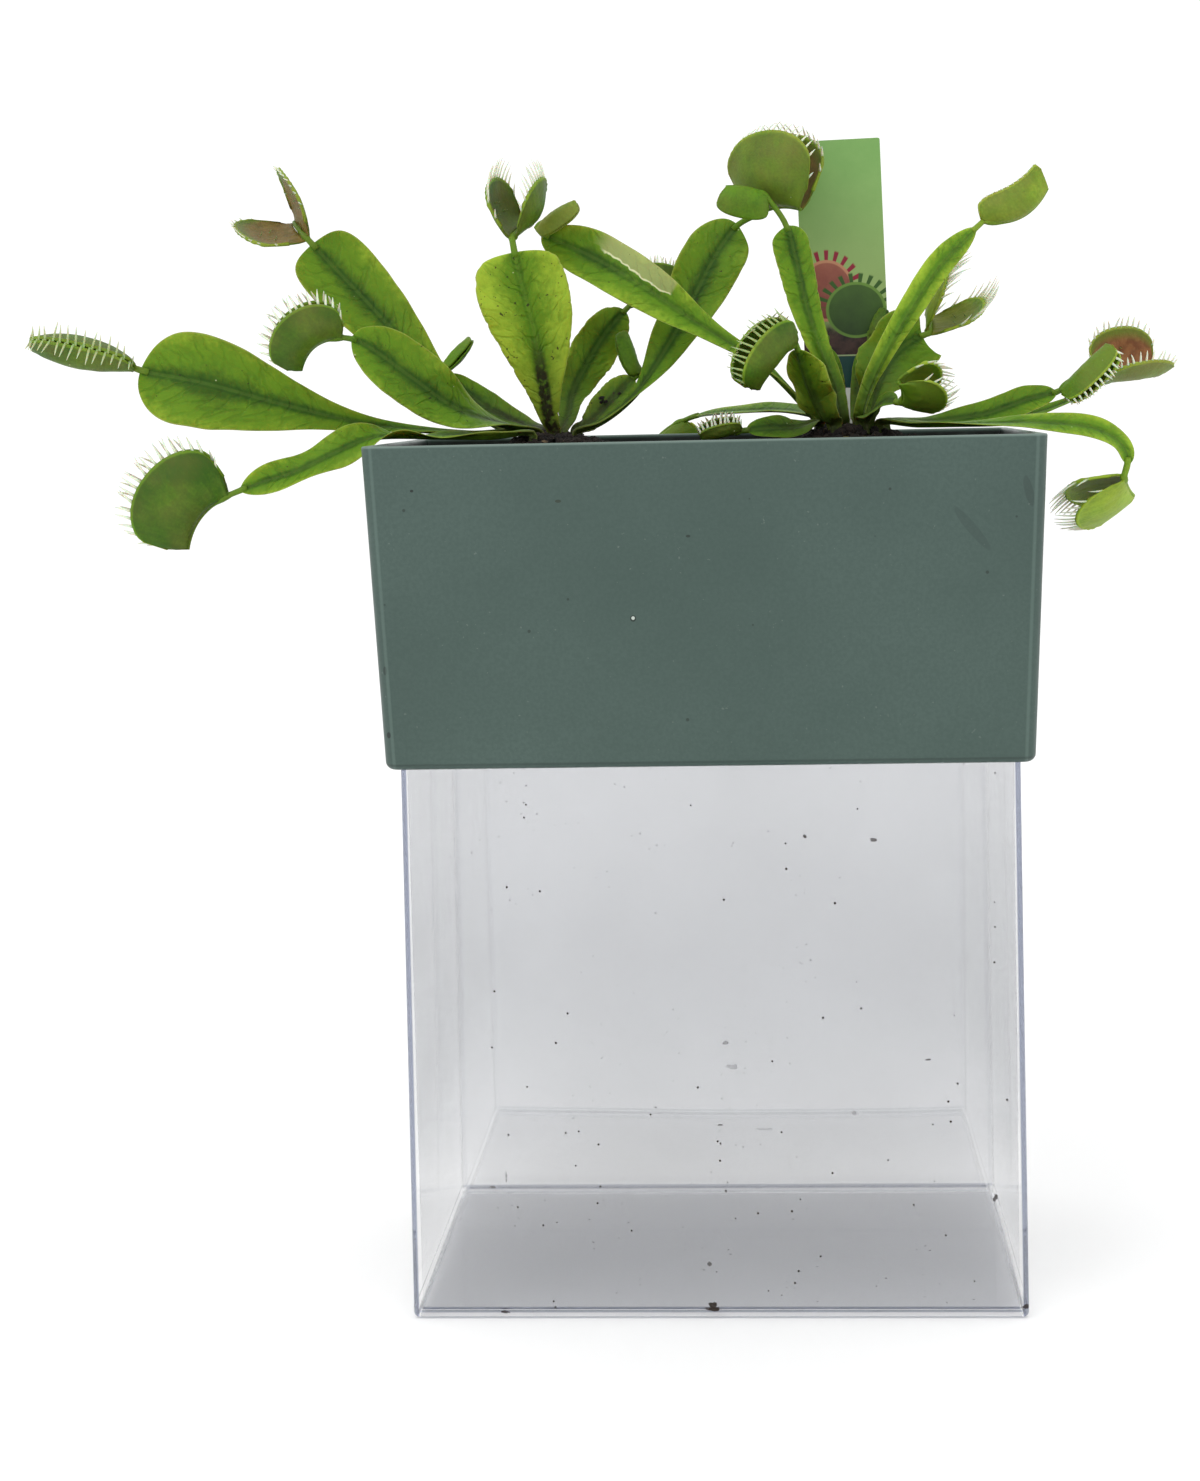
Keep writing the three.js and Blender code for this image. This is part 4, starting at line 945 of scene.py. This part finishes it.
def drill_hole(piece, x, y, z):
    """Cuts a drain hole with its middle at the given place."""
    drill = bmesh.new()
    radius = DRAIN["diameter"] / 2 * MM
    bmesh.ops.create_cone(drill, cap_ends=True, segments=32, depth=6 * MM, radius1=radius,
                          radius2=radius)
    mesh = bpy.data.meshes.new("drill")
    drill.to_mesh(mesh)
    drill.free()
    cutter = bpy.data.objects.new("drill", mesh)
    cutter.location = (x * MM, y * MM, z * MM)
    bpy.context.scene.collection.objects.link(cutter)
    bpy.context.view_layer.update()
    cut = piece.modifiers.new("drain", "BOOLEAN")
    cut.object, cut.operation, cut.solver = cutter, "DIFFERENCE", "EXACT"
    bpy.context.view_layer.objects.active = piece
    bpy.ops.object.modifier_apply(modifier=cut.name)
    bpy.data.objects.remove(cutter)


def build_pot(material):
    foot, lip, wall = POT["foot"], POT["lip"], POT["wall"]
    rings = [pot_outline(foot * (1 - s), POT_BOTTOM + foot * (1 - c)) for s, c in quarter(6)]
    rings += [pot_outline(lip * (1 - c), POT_RIM - lip * (1 - s)) for s, c in quarter(4)]
    rings += [pot_outline(wall - lip * (1 - s), POT_RIM - lip * (1 - c)) for s, c in quarter(4)]
    first_shaded_ring = len(rings)
    rings += [pot_outline(wall, POT_RIM - 1.2), pot_outline(wall, SOIL_FLOOR + 1),
              pot_outline(wall + 1, SOIL_FLOOR)]
    skin = Skin()
    # The inside is painted darker as shade, below a strip under the rim that stays unshaded.
    skin.tube(rings, edge=[float(i >= first_shaded_ring) for i, ring in enumerate(rings) for _ in ring])
    pot = skin.build("planter_shell", [material], "pot", "planter_plastic", sharp=35)
    for column in (-1, 0, 1):
        for row in (-1, 1):
            drill_hole(pot, column * DRAIN["spacing"], row * DRAIN["row"], POT_BOTTOM + 1)


def soil_height(x, y):
    height = SOIL_LEVEL + 0.5 * math.sin(x / 4.3) * math.cos(y / 5.1)
    for crown in CROWNS.values():
        away = math.hypot(x - crown["x"], y - crown["y"])
        height += crown["mound"] * math.exp(-(away / MOUND_SPREAD) ** 2)
        height -= 1.1 * math.exp(-(away / 9) ** 4)
    return height


def build_soil_bed(material, steps=70):
    inset = POT["wall"] + CLEARANCE
    outline = pot_outline(inset, SOIL_LEVEL, 6, 60)
    rings = [pot_outline(inset, z, 6, 60) for z in (SOIL_FLOOR, SOIL_LEVEL - 3)]
    for i in range(steps):
        ring = []
        for x, y, _ in outline:
            px, py = x * (1 - i / steps), y * (1 - i / steps)
            lump = 1.5 * wobble(px / 3.1, py / 3.1, 4) + 0.8 * wobble(px / 1.3, py / 1.3, 9)
            ring.append(np.array([px, py, soil_height(px, py) + lump - 0.3]))
        rings.append(ring)
    skin = Skin()
    skin.tube(rings)
    skin.build("soil_bed", [material], "soil", "soil")


def build_crumbs(material):
    crumbs = Skin()
    chance = random.Random(5)

    def add_crumb(centre, size):
        rings = []
        for k in range(5):
            a = math.pi * (k + 0.35) / 4.7
            rings.append([centre + size * chance.uniform(0.75, 1.2) * np.array([
                math.sin(a) * c, math.sin(a) * s, -math.cos(a) * 0.8]) for c, s in circle(6)])
        crumbs.tube(rings)

    for _ in range(CRUMBS):
        x = chance.uniform(-1, 1) * (POT["bottom_width"] / 2 - 3)
        y = chance.uniform(-1, 1) * (POT["bottom_depth"] / 2 - 2)
        size = 0.35 + 1.5 * chance.random() ** 4
        add_crumb(np.array([x, y, soil_height(x, y) + size * 0.3]), size)
    for crown in CROWNS.values():
        for _ in range(HEAP_CRUMBS):
            a, away = chance.uniform(0, 2 * math.pi), HEAP_REACH * chance.random() ** 0.6
            size = 0.4 + 1.3 * chance.random() ** 3
            x, y = crown["x"] + away * math.cos(a), crown["y"] + away * math.sin(a)
            top = HEAP_HEIGHT * math.exp(-(away / 13) ** 4) * chance.uniform(0.55, 1)
            add_crumb(np.array([x, y, soil_height(x, y) + top - 0.3]), size)
    for clump in SOIL_ON_LEAF:
        for _ in range(CLUMP_CRUMBS):
            spread = [chance.uniform(-limit, limit) for limit in (1, 0.3, 1)]
            add_crumb(np.asarray(clump) + spread, chance.uniform(0.35, 0.7))
    crumbs.build("soil_crumbs", [material], slot_name="soil")


def build_clear_box(material):
    width, depth, height = BOX["width"], BOX["depth"], BOX["height"]
    wall, corner = BOX["wall"], BOX["corner"]
    lip, fillet = 0.2, 0.6

    def outline(inset, z):
        return rounded_outline(width - 2 * inset, depth - 2 * inset,
                               max(corner - inset, 0.3), z, 6)

    rings = [outline(corner * (1 - s), corner * (1 - c)) for s, c in quarter(5)]
    rings += [outline(lip * (1 - c), height - lip * (1 - s)) for s, c in quarter(2)]
    rings += [outline(wall - lip * (1 - s), height - lip * (1 - c)) for s, c in quarter(2)]
    rings += [outline(wall + fillet * (1 - c), wall + fillet * (1 - s))
              for s, c in reversed(quarter(3))]
    skin = Skin()
    skin.tube(rings)
    skin.build("clear_case", [material], "clear_box", "clear_plastic", sharp=30)


# ---------- the object ----------
def recolour(node, material):
    """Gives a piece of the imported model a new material, and keeps its shape."""
    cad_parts[node].data.materials.clear()
    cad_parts[node].data.materials.append(material)


leaf_materials = [blade_material(), trap_material(), tooth_material()]
for side_name, crown in CROWNS.items():
    crown_top = SOIL_LEVEL + crown["mound"] - CROWN_DROP
    recolour(f"crown_{side_name}", crown_material())
    for number, facts in enumerate(LEAVES[side_name], 1):
        leaf = Leaf(facts, crown, crown_top + CLEARANCE)
        name, skins = f"leaf_{side_name}_{number}", list(leaf_materials)
        if leaf.facts["flap"]:
            skins[0] = blade_material(f"leaf_blade_{side_name}_{number}", leaf.facts["flap"])
        leaf.build(name, number + 20 * (side_name == "left"), skins)

soil_look = soil_material()
build_pot(pot_material())
build_soil_bed(soil_look)
build_crumbs(soil_look)
build_clear_box(clear_material())
recolour("label", label_material())


# ---------- floor, light and camera ----------
FLOOR_HALF = 6.0
FLOOR_Z = -0.00015  # just clear of the box's underside, so that the two don't flicker


def build_stage():
    mesh = bpy.data.meshes.new("floor")
    corners = ((-1, -1), (1, -1), (1, 1), (-1, 1))
    mesh.from_pydata([(x * FLOOR_HALF, y * FLOOR_HALF, FLOOR_Z) for x, y in corners], [],
                     [(0, 1, 2, 3)])
    shader = Shader("floor_paint", Roughness=0.7, Base_Color=(0.99, 0.99, 0.99, 1))
    mesh.materials.append(shader.material)
    floor = bpy.data.objects.new("floor", mesh)
    bpy.context.scene.collection.objects.link(floor)


def add_light(name, place, target, size, watts):
    lamp = bpy.data.lights.new(name, "AREA")
    lamp.size, lamp.energy = size, watts
    holder = bpy.data.objects.new(name, lamp)
    holder.location = place
    aim = Vector(target) - Vector(place)
    holder.rotation_euler = aim.to_track_quat("-Z", "Y").to_euler()
    bpy.context.scene.collection.objects.link(holder)


# The camera, in millimetres and degrees, and the photograph's middle in its own pixels.
CAMERA_PLACE = (17.52, -648.11, 233.77)
CAMERA_YAW, CAMERA_PITCH, CAMERA_ROLL = -3.048, 2.0, -1.189
PHOTO_WIDTH, PHOTO_HEIGHT, FOCAL_PIXELS = 1200, 1481, 2400
CENTRE_X, CENTRE_Y = 645.28, 479.59
SENSOR = 36


def add_camera():
    yaw, pitch, roll = map(math.radians, (CAMERA_YAW, CAMERA_PITCH, CAMERA_ROLL))
    forward = Vector((math.sin(yaw) * math.cos(pitch), math.cos(yaw) * math.cos(pitch),
                      -math.sin(pitch)))
    level = Vector((math.cos(yaw), -math.sin(yaw), 0))
    above = level.cross(forward)
    right = level * math.cos(roll) + above * math.sin(roll)
    up = above * math.cos(roll) - level * math.sin(roll)
    data = bpy.data.cameras.new("camera")
    data.sensor_width = SENSOR
    data.lens = FOCAL_PIXELS * SENSOR / PHOTO_HEIGHT
    data.shift_x = (PHOTO_WIDTH / 2 - CENTRE_X) / PHOTO_HEIGHT
    data.shift_y = (CENTRE_Y - PHOTO_HEIGHT / 2) / PHOTO_HEIGHT
    data.clip_start, data.clip_end = 0.01, 20
    camera = bpy.data.objects.new("camera", data)
    turned = Matrix((right, up, -forward)).transposed()
    camera.matrix_world = Matrix.Translation(Vector(CAMERA_PLACE) * MM) @ turned.to_4x4()
    bpy.context.scene.collection.objects.link(camera)
    bpy.context.scene.camera = camera


build_stage()
add_light("key", (-0.9, -1.2, 1.5), (0, 0, 0.2), 1.2, 9)
add_light("fill", (1.2, -0.9, 0.8), (0, 0, 0.2), 1.2, 2)
world = bpy.data.worlds.new("world")
world.use_nodes = True
sky = world.node_tree.nodes["Background"]
sky.inputs["Color"].default_value = (1, 1, 1, 1)
sky.inputs["Strength"].default_value = 1.1
bpy.context.scene.world = world
bpy.context.scene.view_settings.view_transform = "Standard"
add_camera()
